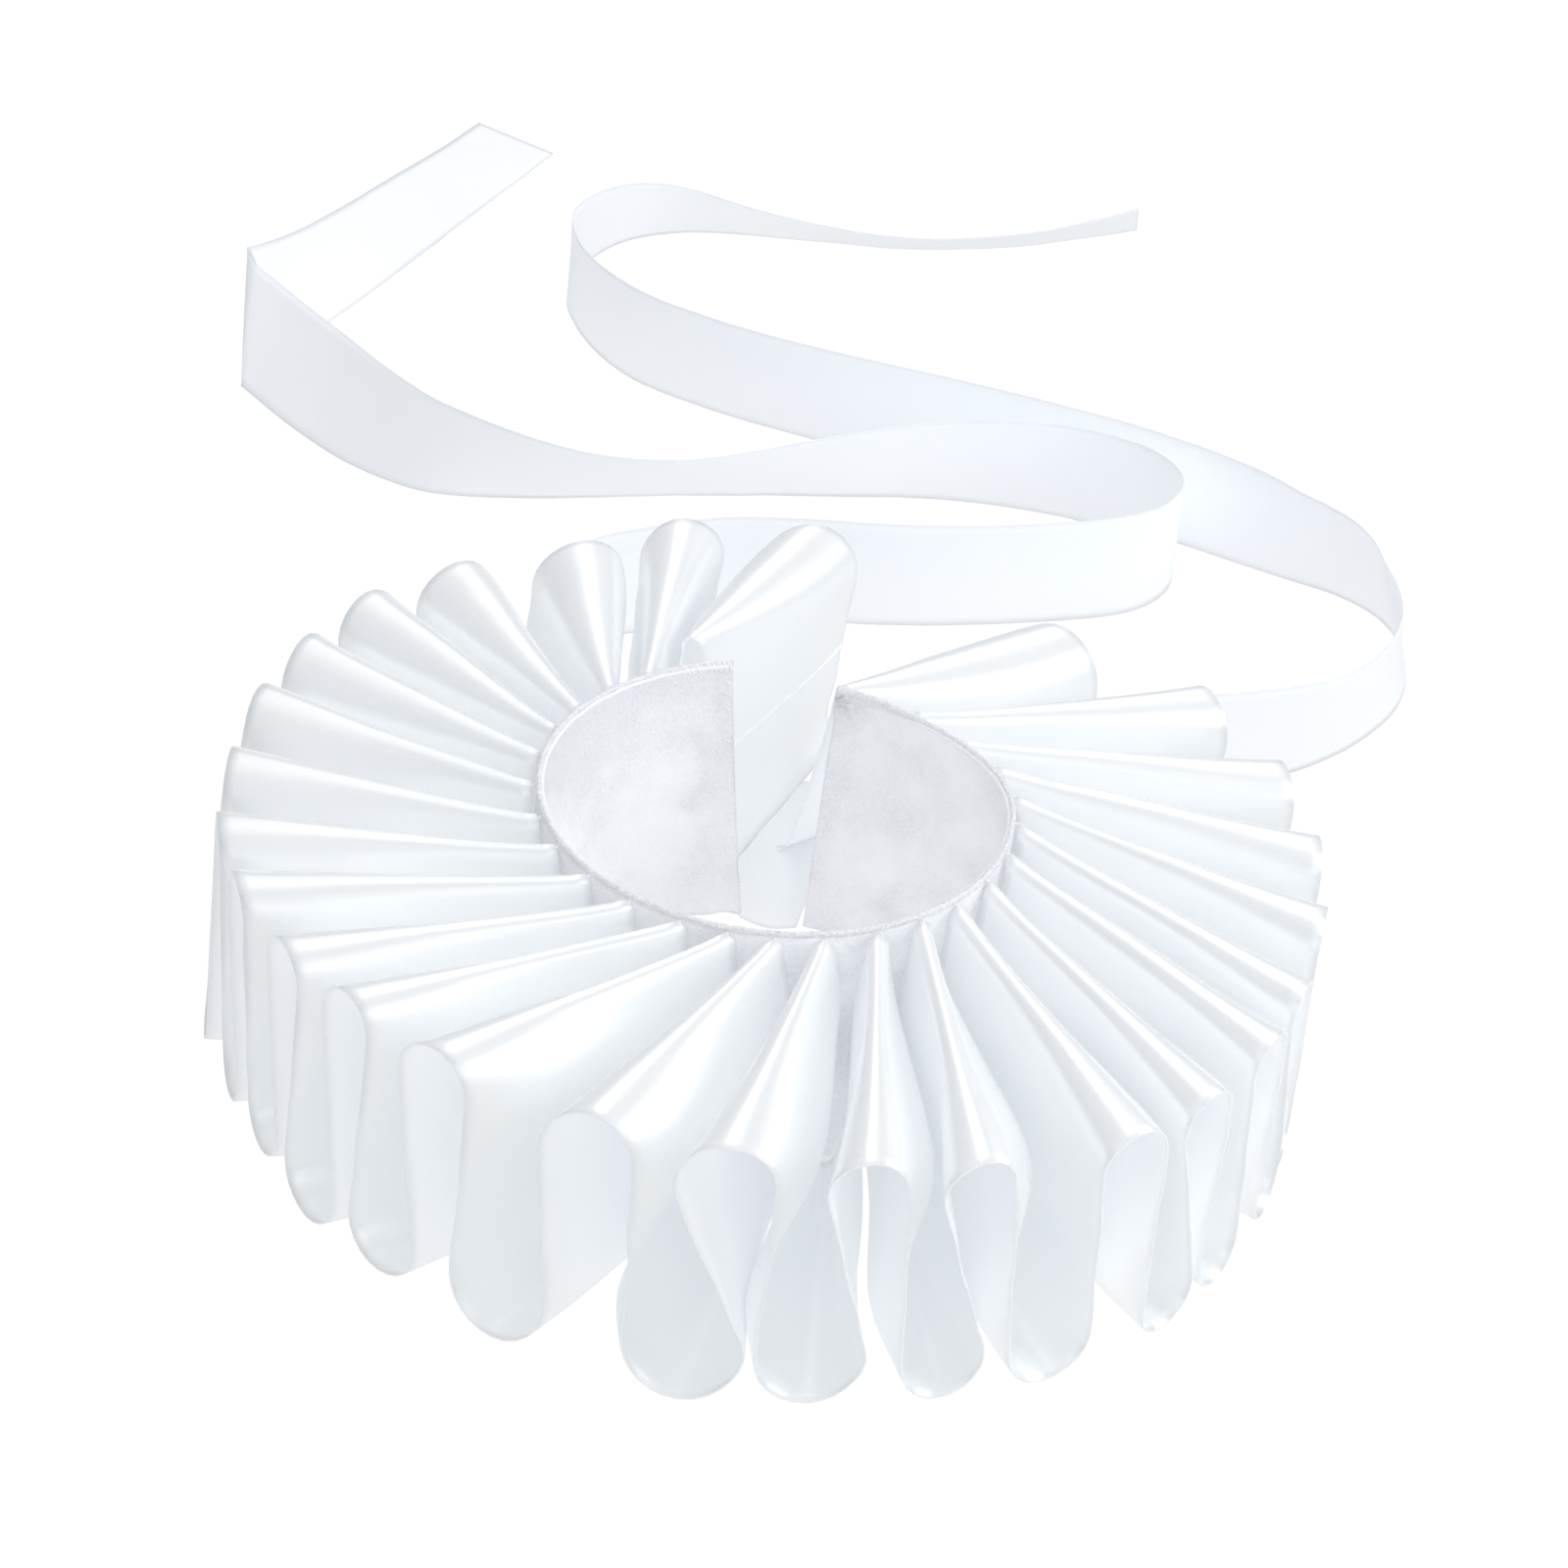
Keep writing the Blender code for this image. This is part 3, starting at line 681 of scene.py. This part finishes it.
def wallSlope(run, rise, radii):
    # the slope at which the flat wall just touches both arcs, found by halving
    low, high = -frill["steepest"], frill["steepest"]
    for _ in range(frill["halvings"]):
        slope = (low + high) / 2.0
        drop = rise - radii * (1 + math.sin(slope))
        if radii * math.cos(slope) - run > math.tan(slope) * drop:
            low = slope
        else:
            high = slope
    return slope


def arcPoint(radius, angle):
    # how far an arc has gone sideways, and up or down, at an angle from its crest
    return radius * math.sin(angle), radius * (1.0 - math.cos(angle))


def measureWave(index, v):
    # one half wave of the ribbon at v: its folds, its arcs and the flat wall between them
    first, second = folds[index], folds[index + 1]
    upper, lower = (first, second) if first.height > second.height else (second, first)
    upperAngle, upperReach, upperRadius = foldAt(upper, v)
    lowerAngle, lowerReach, lowerRadius = foldAt(lower, v)
    middleReach = (upperReach + lowerReach) / 2.0
    run = abs(lowerAngle - upperAngle) * middleReach
    rise = upper.height - lower.height
    turn = math.pi / 2.0 + wallSlope(run, rise, upperRadius + lowerRadius)
    slack = (first.slack + second.slack) / 2.0 * (1.0 - v ** frill["edgeGrip"])
    top = Vector(arcPoint(upperRadius, turn))
    sideways, up = arcPoint(lowerRadius, turn)
    bottom = Vector((run - sideways, rise - up))
    return {"down": first.height > second.height,
            "slack": slack, "sway": frill["sway"] * slack * math.sin(math.pi * v),
            "run": run, "rise": rise, "top": top, "bottom": bottom,
            "height": upper.height + frill["neckLift"] * (1.0 - v) ** frill["neckLiftFade"],
            "upperAngle": upperAngle, "upperReach": upperReach, "upperRadius": upperRadius,
            "lowerReach": lowerReach, "lowerRadius": lowerRadius, "middleReach": middleReach,
            "lengths": (upperRadius * turn, (bottom - top).length, lowerRadius * turn)}


def hump(depth, start):
    # 1 in the middle of the stretch that begins at start, 0 outside it
    across = (depth - start) / frill["humpLength"]
    return math.sin(math.pi * across) ** 2 if 0.0 < across < 1.0 else 0.0


def alongWave(wave, share):
    # point at a share of the half wave's length, from its first fold to its second
    if not wave["down"]:
        share = 1.0 - share
    upperArc, wall, lowerArc = wave["lengths"]
    run = share * (upperArc + wall + lowerArc)
    if run <= upperArc:
        flat = Vector(arcPoint(wave["upperRadius"], run / wave["upperRadius"]))
    elif run >= upperArc + wall:
        left = upperArc + wall + lowerArc - run
        sideways, up = arcPoint(wave["lowerRadius"], left / wave["lowerRadius"])
        flat = Vector((wave["run"] - sideways, wave["rise"] - up))
    else:
        flat = wave["top"].lerp(wave["bottom"], (run - upperArc) / wall)
    # a slack wall bulges one way in its upper part and the other way in its lower part
    depth = flat.y / wave["rise"]
    out = max(0.0, wave["run"] - frill["outerRoom"] - flat.x) * hump(depth, 0.0)
    back = max(0.0, flat.x - frill["innerRoom"]) * hump(depth, 1.0 - frill["humpLength"])
    if not wave["down"]:
        out *= frill["nearOut"]
    flat.x += wave["slack"] * (out - back)
    sense = 1.0 if wave["down"] else -1.0
    sway = wave["sway"] * hump(depth, 1.0 - frill["humpLength"])
    angle = wave["upperAngle"] + (sense * flat.x + sway) / wave["middleReach"]
    reach = wave["upperReach"] + (wave["lowerReach"] - wave["upperReach"]) * depth
    return Vector((reach * math.cos(angle), reach * math.sin(angle), wave["height"] - flat.y))


waveCount = len(folds) - 1
waves = {(index, row): measureWave(index, row / frill["rows"])
         for index in range(waveCount) for row in range(frill["rows"] + 1)}
waveEnds = [0.0]
for index in range(waveCount):
    trail = [alongWave(waves[index, frill["rows"] // 2], step / frill["trailSteps"])
             for step in range(frill["trailSteps"] + 1)]
    waveEnds.append(waveEnds[-1] + sum((b - a).length for a, b in zip(trail, trail[1:])))


def frillPoint(u, v):
    column = round(u * waveCount * frill["steps"])
    index = min(column // frill["steps"], waveCount - 1)
    share = column / frill["steps"] - index
    return alongWave(waves[index, round(v * frill["rows"])], share)


def frillLayout(u, v):
    index = min(int(u * waveCount + tiny), waveCount - 1)
    share = u * waveCount - index
    return (waveEnds[index] + share * (waveEnds[index + 1] - waveEnds[index]),
            v * frill["width"])


def frillMoves(along, across):
    # gathers pressed in at the sewn edge, slack in the walls, and a slight flutter at the
    # outer edge
    v = across / frill["width"]
    gathers = frill["gather"] * unevenness(along, across, frill["gathers"]) * (1.0 - v) ** 2
    slack = (frill["slack"] * unevenness(along, across, frill["slackWaves"])
             * math.sin(math.pi * v) ** 0.5)
    flutter = frill["flutter"] * unevenness(along, across, frill["flutterWaves"]) * v ** 3
    return gathers + slack + flutter


ruffle = clothGrid("satin_frill", waveCount * frill["steps"], frill["rows"], frillPoint,
                   frillLayout)
pushAlongNormals(ruffle, frillMoves)
addWall(ruffle, frill["wall"], [satinBack, satinFace])
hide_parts("frill_ribbon")
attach(ruffle, "root")
print("frill made: ribbon", round(waveEnds[-1], 3), "m long")

# start and end give the share of the first half wave and of the ribbon's width
lapHem = {"start": (0.46, 0.05), "end": (0.43, 0.985), "radius": 0.85 * mm, "steps": 40,
          "sides": 8}


def makeLapHem():
    # the narrow turned hem where the ribbon's end laps over the wall beside the opening
    path = []
    for step in range(lapHem["steps"] + 1):
        t = step / lapHem["steps"]
        share, v = (a + t * (b - a) for a, b in zip(lapHem["start"], lapHem["end"]))
        path.append(neckCentre + alongWave(measureWave(0, v), share))
    bm = bmesh.new()
    addTube(bm, path, lambda share: lapHem["radius"], lapHem["sides"])
    return finishTubes(bm, "ribbon_lap_hem", satinBack)


lastTurn = {
    # corners in millimetres from the neck's centre, and the bulges of two sides in millimetres
    "nearLeft": Vector((-6.8, 42.0, 0)), "nearRight": Vector((9.2, 40.0, 0)),
    "farLeft": Vector((8.0, 112.0, 0)), "farRight": Vector((22.0, 112.0, 0)),
    "nearBulge": 2.5, "leftBulge": 9.0,
    "lift": 0.5 * mm, "curl": 2.5 * mm, "waver": 0.4 * mm, "waverGrain": Grain(3, 4, 3),
    "columns": 24, "rows": 40, "weave": (20 * mm, 50 * mm),
}


def makeLastTurn():
    # the ribbon's last lower fold, spread flat on the surface across the opening
    def place(u, v):
        near = lastTurn["nearLeft"].lerp(lastTurn["nearRight"], u)
        near -= Vector((0, lastTurn["nearBulge"] * math.sin(math.pi * u), 0))
        far = lastTurn["farLeft"].lerp(lastTurn["farRight"], u)
        bulge = Vector((-lastTurn["leftBulge"] * math.sin(math.pi * v) * (1.0 - u), 0, 0))
        spot = (near.lerp(far, v) + bulge) * mm
        curl = (lastTurn["curl"] * ((2 * u - 1) ** 4 * v * (1 - v))
                + lastTurn["waver"] * unevenness(u, v, lastTurn["waverGrain"]))
        return spot + Vector((0, 0, lastTurn["lift"] + max(0.0, curl)))

    def layout(u, v):
        return (u * lastTurn["weave"][0], v * lastTurn["weave"][1])

    turning = clothGrid("ribbon_turning", lastTurn["columns"], lastTurn["rows"], place, layout)
    addWall(turning, frill["wall"], [satinInShade])
    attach(turning, "root")
    return turning


lapPieces = [makeLapHem(), makeLastTurn()]
print("lap hem and last turn made")


tie = {"width": tieWidth, "wall": 0.5 * mm, "foldLift": 0.04, "step": 2.6 * mm, "rows": 12,
       "slack": 0.35 * mm, "lift": 0.95 * mm, "evenOver": 13, "fineSteps": 3000,
       "aheadBy": 0.002}
# the lower edge's place in millimetres, the ribbon's lean in degrees, and how many
# millimetres its upper edge runs ahead
Station = namedtuple("Station", "x y lean ahead")
leftRoute = [
    Station(-43.8, 37.6, 0, 0), Station(-48, 47.3, 0, 0), Station(-51.8, 66, 0, 0),
    Station(-58, 90, 0, 0), Station(-65, 117, 0, 0), Station(-71, 142, 0, 0),
    Station(-72, 162, 0, 0),
    Station(-64, 178, 0, 0), Station(-48, 189, 0, 0), Station(-27, 200, -1, 0),
    Station(0, 205, -1, 0), Station(30, 208, -2, 0), Station(60, 214, -3, 0),
    Station(90, 223, -3, 0), Station(110, 232, -1, 0), Station(122, 245, 2, 0),
    Station(126, 261, 5, 0), Station(118, 278, 6, 0), Station(101, 289, 7, 0),
    Station(78, 295, 9, 0), Station(43, 296, 18, 0), Station(7, 290, 28, 0),
    Station(-28, 283, 40, 0), Station(-62, 275, 47, 0), Station(-97, 267, 29, 0),
    Station(-128, 265, 4, 0), Station(-155, 276, -32, 4), Station(-180, 297, -44, 16),
    Station(-205, 324.5, -45, 34),
]
leftRouteEnd = [
    Station(-205.5, 328, 40, 44), Station(-191, 367, 50, 18), Station(-175, 411, 66, 3),
    Station(-160, 455, 74, 0), Station(-146, 497, 79, 0), Station(-133, 534, 83, 0),
    Station(-122, 567, 85, 5),
]
rightRoute = [
    Station(14, 50.5, 0, 0), Station(31, 67.5, 0, 0), Station(50, 82, 0, 0),
    Station(73, 98, 0, 0), Station(98, 113, 0, 0), Station(122, 126, -3, 0),
    Station(142, 136, -10, 0), Station(158, 145, -14, 0), Station(172, 157, -11, 0),
    Station(184, 171, -5, 0), Station(194, 187, 9, 0), Station(199.5, 205, 18, 0),
    Station(200.5, 222, 25, 0), Station(198, 237, 26, 0), Station(191, 249, 27, 0),
    Station(180, 258, 14, 0),
    Station(163, 266, 6, 0), Station(132, 281, -3, 0), Station(97, 297, -2, 0),
    Station(62, 311, 1, 0), Station(27, 323, 4, 0), Station(-8, 335, 6, 0),
    Station(-38, 347, 6, 0), Station(-64, 362, 4, 0), Station(-82, 382, 4, 0),
    Station(-94, 405, 5, 0), Station(-100, 431, -2, 0), Station(-96, 461, -17, 0),
    Station(-84, 485, -32, 0), Station(-64, 499, -42, 0), Station(-38, 504, -50, 0),
    Station(-8, 504, -57, 0), Station(24, 505, -61, 0), Station(54, 511, -59, 0),
    Station(85, 523, -54, -6), Station(127, 547, -50, -22),
]


def stationAt(stations, share):
    # a smooth curve through the stations
    place = share * (len(stations) - 1)
    index = min(int(place), len(stations) - 2)
    t = place - index
    before, after = stations[max(index - 1, 0)], stations[min(index + 2, len(stations) - 1)]
    values = []
    for a, b, c, d in zip(before, stations[index], stations[index + 1], after):
        values.append(0.5 * (2 * b + (c - a) * t + (2 * a - 5 * b + 4 * c - d) * t * t
                             + (3 * b - a - 3 * c + d) * t ** 3))
    return Station(*values)


def evenShares(stations):
    # shares of the curve that lie evenly along it, about one step apart
    fineSteps = tie["fineSteps"]
    lengths = [0.0]
    last = stationAt(stations, 0.0)
    for index in range(1, fineSteps + 1):
        here = stationAt(stations, index / fineSteps)
        lengths.append(lengths[-1] + math.hypot(here.x - last.x, here.y - last.y) * mm)
        last = here
    count = round(lengths[-1] / tie["step"])
    shares, index = [], 0
    for number in range(count + 1):
        while index < fineSteps and lengths[index] < lengths[-1] * number / count:
            index += 1
        shares.append(index / fineSteps)
    return shares


def tieRung(stations, share):
    # the ribbon's lower and upper edge at a share of its route
    here = stationAt(stations, share)
    behind = stationAt(stations, max(0.0, share - tie["aheadBy"]))
    ahead = stationAt(stations, min(1.0, share + tie["aheadBy"]))
    along = Vector((ahead.x - behind.x, ahead.y - behind.y, 0.0)).normalized()
    left = Vector((-along.y, along.x, 0.0))
    lean = math.radians(here.lean)
    clear = tie["lift"] * abs(math.sin(lean)) + tie["foldLift"] * abs(here.ahead) * mm
    lower = Vector((here.x * mm, here.y * mm, clear))
    across = (math.cos(lean) * upward + math.sin(lean) * left) * tie["width"]
    return lower, lower + across + along * here.ahead * mm


def evened(rungs):
    # each rung leans as the ones on either side of it do, so the upper edge runs smoothly
    result = []
    for index, (lower, _) in enumerate(rungs):
        near = min(tie["evenOver"], index, len(rungs) - 1 - index)
        span = rungs[index - near:index + near + 1]
        across = sum((high - low for low, high in span), Vector())
        result.append((lower, lower + across / len(span)))
    return result


def makeTie(name, node, runs, seed):
    rungs = []
    for stations in runs:
        rungs += evened([tieRung(stations, share) for share in evenShares(stations)])
    columns = len(rungs) - 1
    lengths = [0.0]
    for (low, high), (nextLow, nextHigh) in zip(rungs, rungs[1:]):
        lengths.append(lengths[-1] + ((nextLow + nextHigh) / 2 - (low + high) / 2).length)

    def place(u, v):
        lower, upper = rungs[round(u * columns)]
        return lower.lerp(upper, v)

    def layout(u, v):
        return (lengths[round(u * columns)], v * tie["width"])

    def slack(along, across):
        return tie["slack"] * (unevenness(along, across, Grain(30, 25, seed))
                               + 0.4 * unevenness(along, across, Grain(90, 40, seed + 4)))

    ribbon = clothGrid(name, columns, tie["rows"], place, layout)
    pushAlongNormals(ribbon, slack)
    addWall(ribbon, tie["wall"], [tieSatin])
    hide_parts(node)
    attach(ribbon, "root")
    print(name, "made:", round(lengths[-1], 3), "m long")


floorLook = {"halfSide": 3.0, "below": 0.3 * mm, "glowOnCloth": 0.74, "glowInView": 1.02}


def makeFloor():
    bm = bmesh.new()
    bmesh.ops.create_grid(bm, x_segments=1, y_segments=1, size=floorLook["halfSide"])
    bmesh.ops.translate(bm, verts=bm.verts, vec=(0.0, 0.0, -floorLook["below"]))
    floor = addMesh("floor", bm)
    material, tree, shader = newMaterial("studio_floor")
    setInputs(shader, {
        "Base Color": (0.02, 0.02, 0.02, 1.0), "Roughness": 1.0, "Specular IOR Level": 0.0,
        "Emission Color": (1.0, 1.0, 1.0, 1.0)})
    ray = addNode(tree, "ShaderNodeLightPath")
    strength = addNode(tree, "ShaderNodeMapRange", values={
        "To Min": floorLook["glowOnCloth"], "To Max": floorLook["glowInView"]})
    tree.links.new(ray.outputs["Is Camera Ray"], strength.inputs["Value"])
    tree.links.new(strength.outputs["Result"], shader.inputs["Emission Strength"])
    floor.data.materials.append(material)


makeFloor()
print("floor made")
makeTie("left_satin_tie", "left_tie", [leftRoute, leftRouteEnd], 11.0)
makeTie("right_satin_tie", "right_tie", [rightRoute], 17.0)


edge = {
    "radius": 0.80 * mm, "rightRadius": 1.35 * mm, "thickensFrom": 396.0, "thickensTo": 430.0,
    "core": 0.90, "twist": 0.12, "stitches": 170,
    "wobble": 0.22 * mm, "wobbleGrain": Grain(160, 1.5, 4.0), "sides": 10, "steps": 520,
}


def edgeRadius(angle):
    thicker = ease(angle, edge["thickensFrom"], edge["thickensTo"])
    return edge["radius"] + (edge["rightRadius"] - edge["radius"]) * thicker


def edgeCentre(angle, inward=0.0, down=0.0):
    spot = polar(angle, neckRadius(angle) - inward)
    return neckCentre + Vector((spot.x, spot.y, band["height"] + edge["radius"] - down))


def makeEdge():
    bm = bmesh.new()
    for vertex in addBareTube(bm, edge["sides"], edge["steps"]):
        share = vertex.co.z + 0.5
        angle = bandAngle(share)
        size = edgeRadius(angle)
        outward = polar(angle, 1.0).to_3d()
        side = math.atan2(vertex.co.y, vertex.co.x)
        twist = math.sin(share * edge["stitches"] * 2 * math.pi + side)
        rough = edge["wobble"] * unevenness(share, side, edge["wobbleGrain"])
        centre = edgeCentre(angle, down=size - edge["radius"])
        reach = size * (edge["core"] + edge["twist"] * twist) + rough
        vertex.co = centre + reach * (math.cos(side) * outward + math.sin(side) * upward)
    roll = finishTubes(bm, "rolled_edge", edgeCloth)
    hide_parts("neckband_edge_roll")


piping = {
    "radius": 0.48 * mm, "inward": 0.95 * mm, "down": 0.6 * mm, "start": 0.004, "length": 0.992,
    "drop": 3.6 * mm, "dropsFrom": 400.0, "dropsTo": 440.0,
    "waver": 0.2 * mm, "waverGrain": Grain(0.3, 0, 6),
    "uneven": 0.25, "unevenGrain": Grain(90, 0, 2), "steps": 200, "sides": 8,
}


def makePiping():
    # a thin fold of the band just inside the roll; it parts from the roll at the right end
    path = []
    for step in range(piping["steps"] + 1):
        angle = bandAngle(piping["start"] + piping["length"] * step / piping["steps"])
        drop = piping["drop"] * ease(angle, piping["dropsFrom"], piping["dropsTo"])
        waver = piping["waver"] * unevenness(step, 0, piping["waverGrain"])
        path.append(edgeCentre(angle, piping["inward"] + waver, piping["down"] + drop))

    def radius(share):
        return piping["radius"] * (
            1 + piping["uneven"] * unevenness(share, 0, piping["unevenGrain"]))

    bm = bmesh.new()
    addTube(bm, path, radius, piping["sides"])
    finishTubes(bm, "rim_piping", thread)


makePiping()
makeEdge()


def bandFace(u, v, lift):
    # a point on the band's inner face, lift metres clear of it
    moved = bandCrush(u * band["length"], v * band["height"]) - band["wall"] / 2.0 - lift
    return neckCentre + bandPoint(u, v) + moved * polar(bandAngle(u), 1.0).to_3d()


stitch = {"thread": 0.15 * mm, "steps": 4, "sides": 5, "thinEnds": 0.75, "thickMiddle": 0.5}


def addStitch(bm, start, end, bulge, size):
    path = [start.lerp(end, step / stitch["steps"])
            + bulge * math.sin(math.pi * step / stitch["steps"])
            for step in range(stitch["steps"] + 1)]

    def radius(share):
        return size * (stitch["thinEnds"] + stitch["thickMiddle"] * math.sin(math.pi * share))

    addTube(bm, path, radius, stitch["sides"])


# reach is a share of the inset, edge of the band's length, slant and slip of its height
hemStitch = {"inset": 3.9 * mm, "pitch": 3.4 * mm, "reach": 0.65, "reachScatter": 0.5,
             "edge": 0.0015, "slant": 0.018, "slip": 0.03, "bulge": 0.35 * mm}


def makeHemStitches():
    bm = bmesh.new()
    inset = hemStitch["inset"] / band["length"]
    count = int(band["height"] / hemStitch["pitch"])
    for end in (0.0, 1.0):
        for number in range(1, count):
            slip = hemStitch["slip"] * unevenness(number, end, Grain(1.7, 9, 5))
            scatter = hemStitch["reachScatter"] * unevenness(number, end, Grain(2.9, 5, 2))
            v = number / count
            innerU = abs(end - inset * (hemStitch["reach"] + scatter))
            edgeU = abs(end - hemStitch["edge"])
            addStitch(bm, bandFace(innerU, v + slip, 0.0),
                      bandFace(edgeU, v - hemStitch["slant"] + slip, 0.0),
                      -hemStitch["bulge"] * polar(bandAngle(edgeU), 1.0).to_3d(),
                      stitch["thread"])
    finishTubes(bm, "hem_stitches", thread)


# start, pitch and scatter are shares of the band's length; slant is in degrees
whipping = {"count": 9, "start": 0.001, "pitch": 0.0045, "scatter": 0.003,
            "inward": 1.3 * mm, "down": 2.0 * mm, "downScatter": 1.6 * mm,
            "slant": 1.6, "slantScatter": 2.2, "outward": 1.1 * mm, "highDown": 0.5 * mm,
            "bulge": 1.5 * mm, "thread": 0.442 * mm}
# scatter and slant are in degrees, and onRoll is a share of the roll's radius
tack = {"scatter": 0.8, "onRoll": 0.7, "down": 0.5 * mm, "slant": 0.9, "inset": 0.6 * mm,
        "lift": 0.1 * mm, "bulge": 0.2 * mm, "thread": 0.24 * mm}


def addWhipping(bm):
    # loose turns of thread over the roll's left end
    for number in range(whipping["count"]):
        uneven = unevenness(number, 0.0, Grain(2.3, 0, 1.0))
        angle = bandAngle(whipping["start"] + number * whipping["pitch"]
                          + whipping["scatter"] * uneven)
        low = edgeCentre(angle, whipping["inward"],
                         whipping["down"] + whipping["downScatter"] * uneven)
        high = edgeCentre(angle + whipping["slant"] - whipping["slantScatter"] * uneven,
                          -whipping["outward"], whipping["highDown"])
        addStitch(bm, low, high, whipping["bulge"] * upward, whipping["thread"])


def addTacks(bm):
    # a tack from the roll to the top of each upper fold
    for loop in loops[1:]:
        angle = loop.neck + tack["scatter"] * unevenness(loop.neck, 0.0, Grain(1, 0, 2))
        rim = edgeCentre(angle, -edgeRadius(angle) * tack["onRoll"], tack["down"])
        reach = sewnReach(angle) + tack["inset"]
        crest = neckCentre + polar(angle + tack["slant"], reach).to_3d()
        crest.z = frill["height"] + tack["lift"]
        addStitch(bm, rim, crest, tack["bulge"] * upward, tack["thread"])


def makeRimStitches():
    bm = bmesh.new()
    addWhipping(bm)
    addTacks(bm)
    finishTubes(bm, "rim_stitches", thread)


makeHemStitches()
makeRimStitches()
print("rolled edge and stitches made")

bpy.context.view_layer.update()
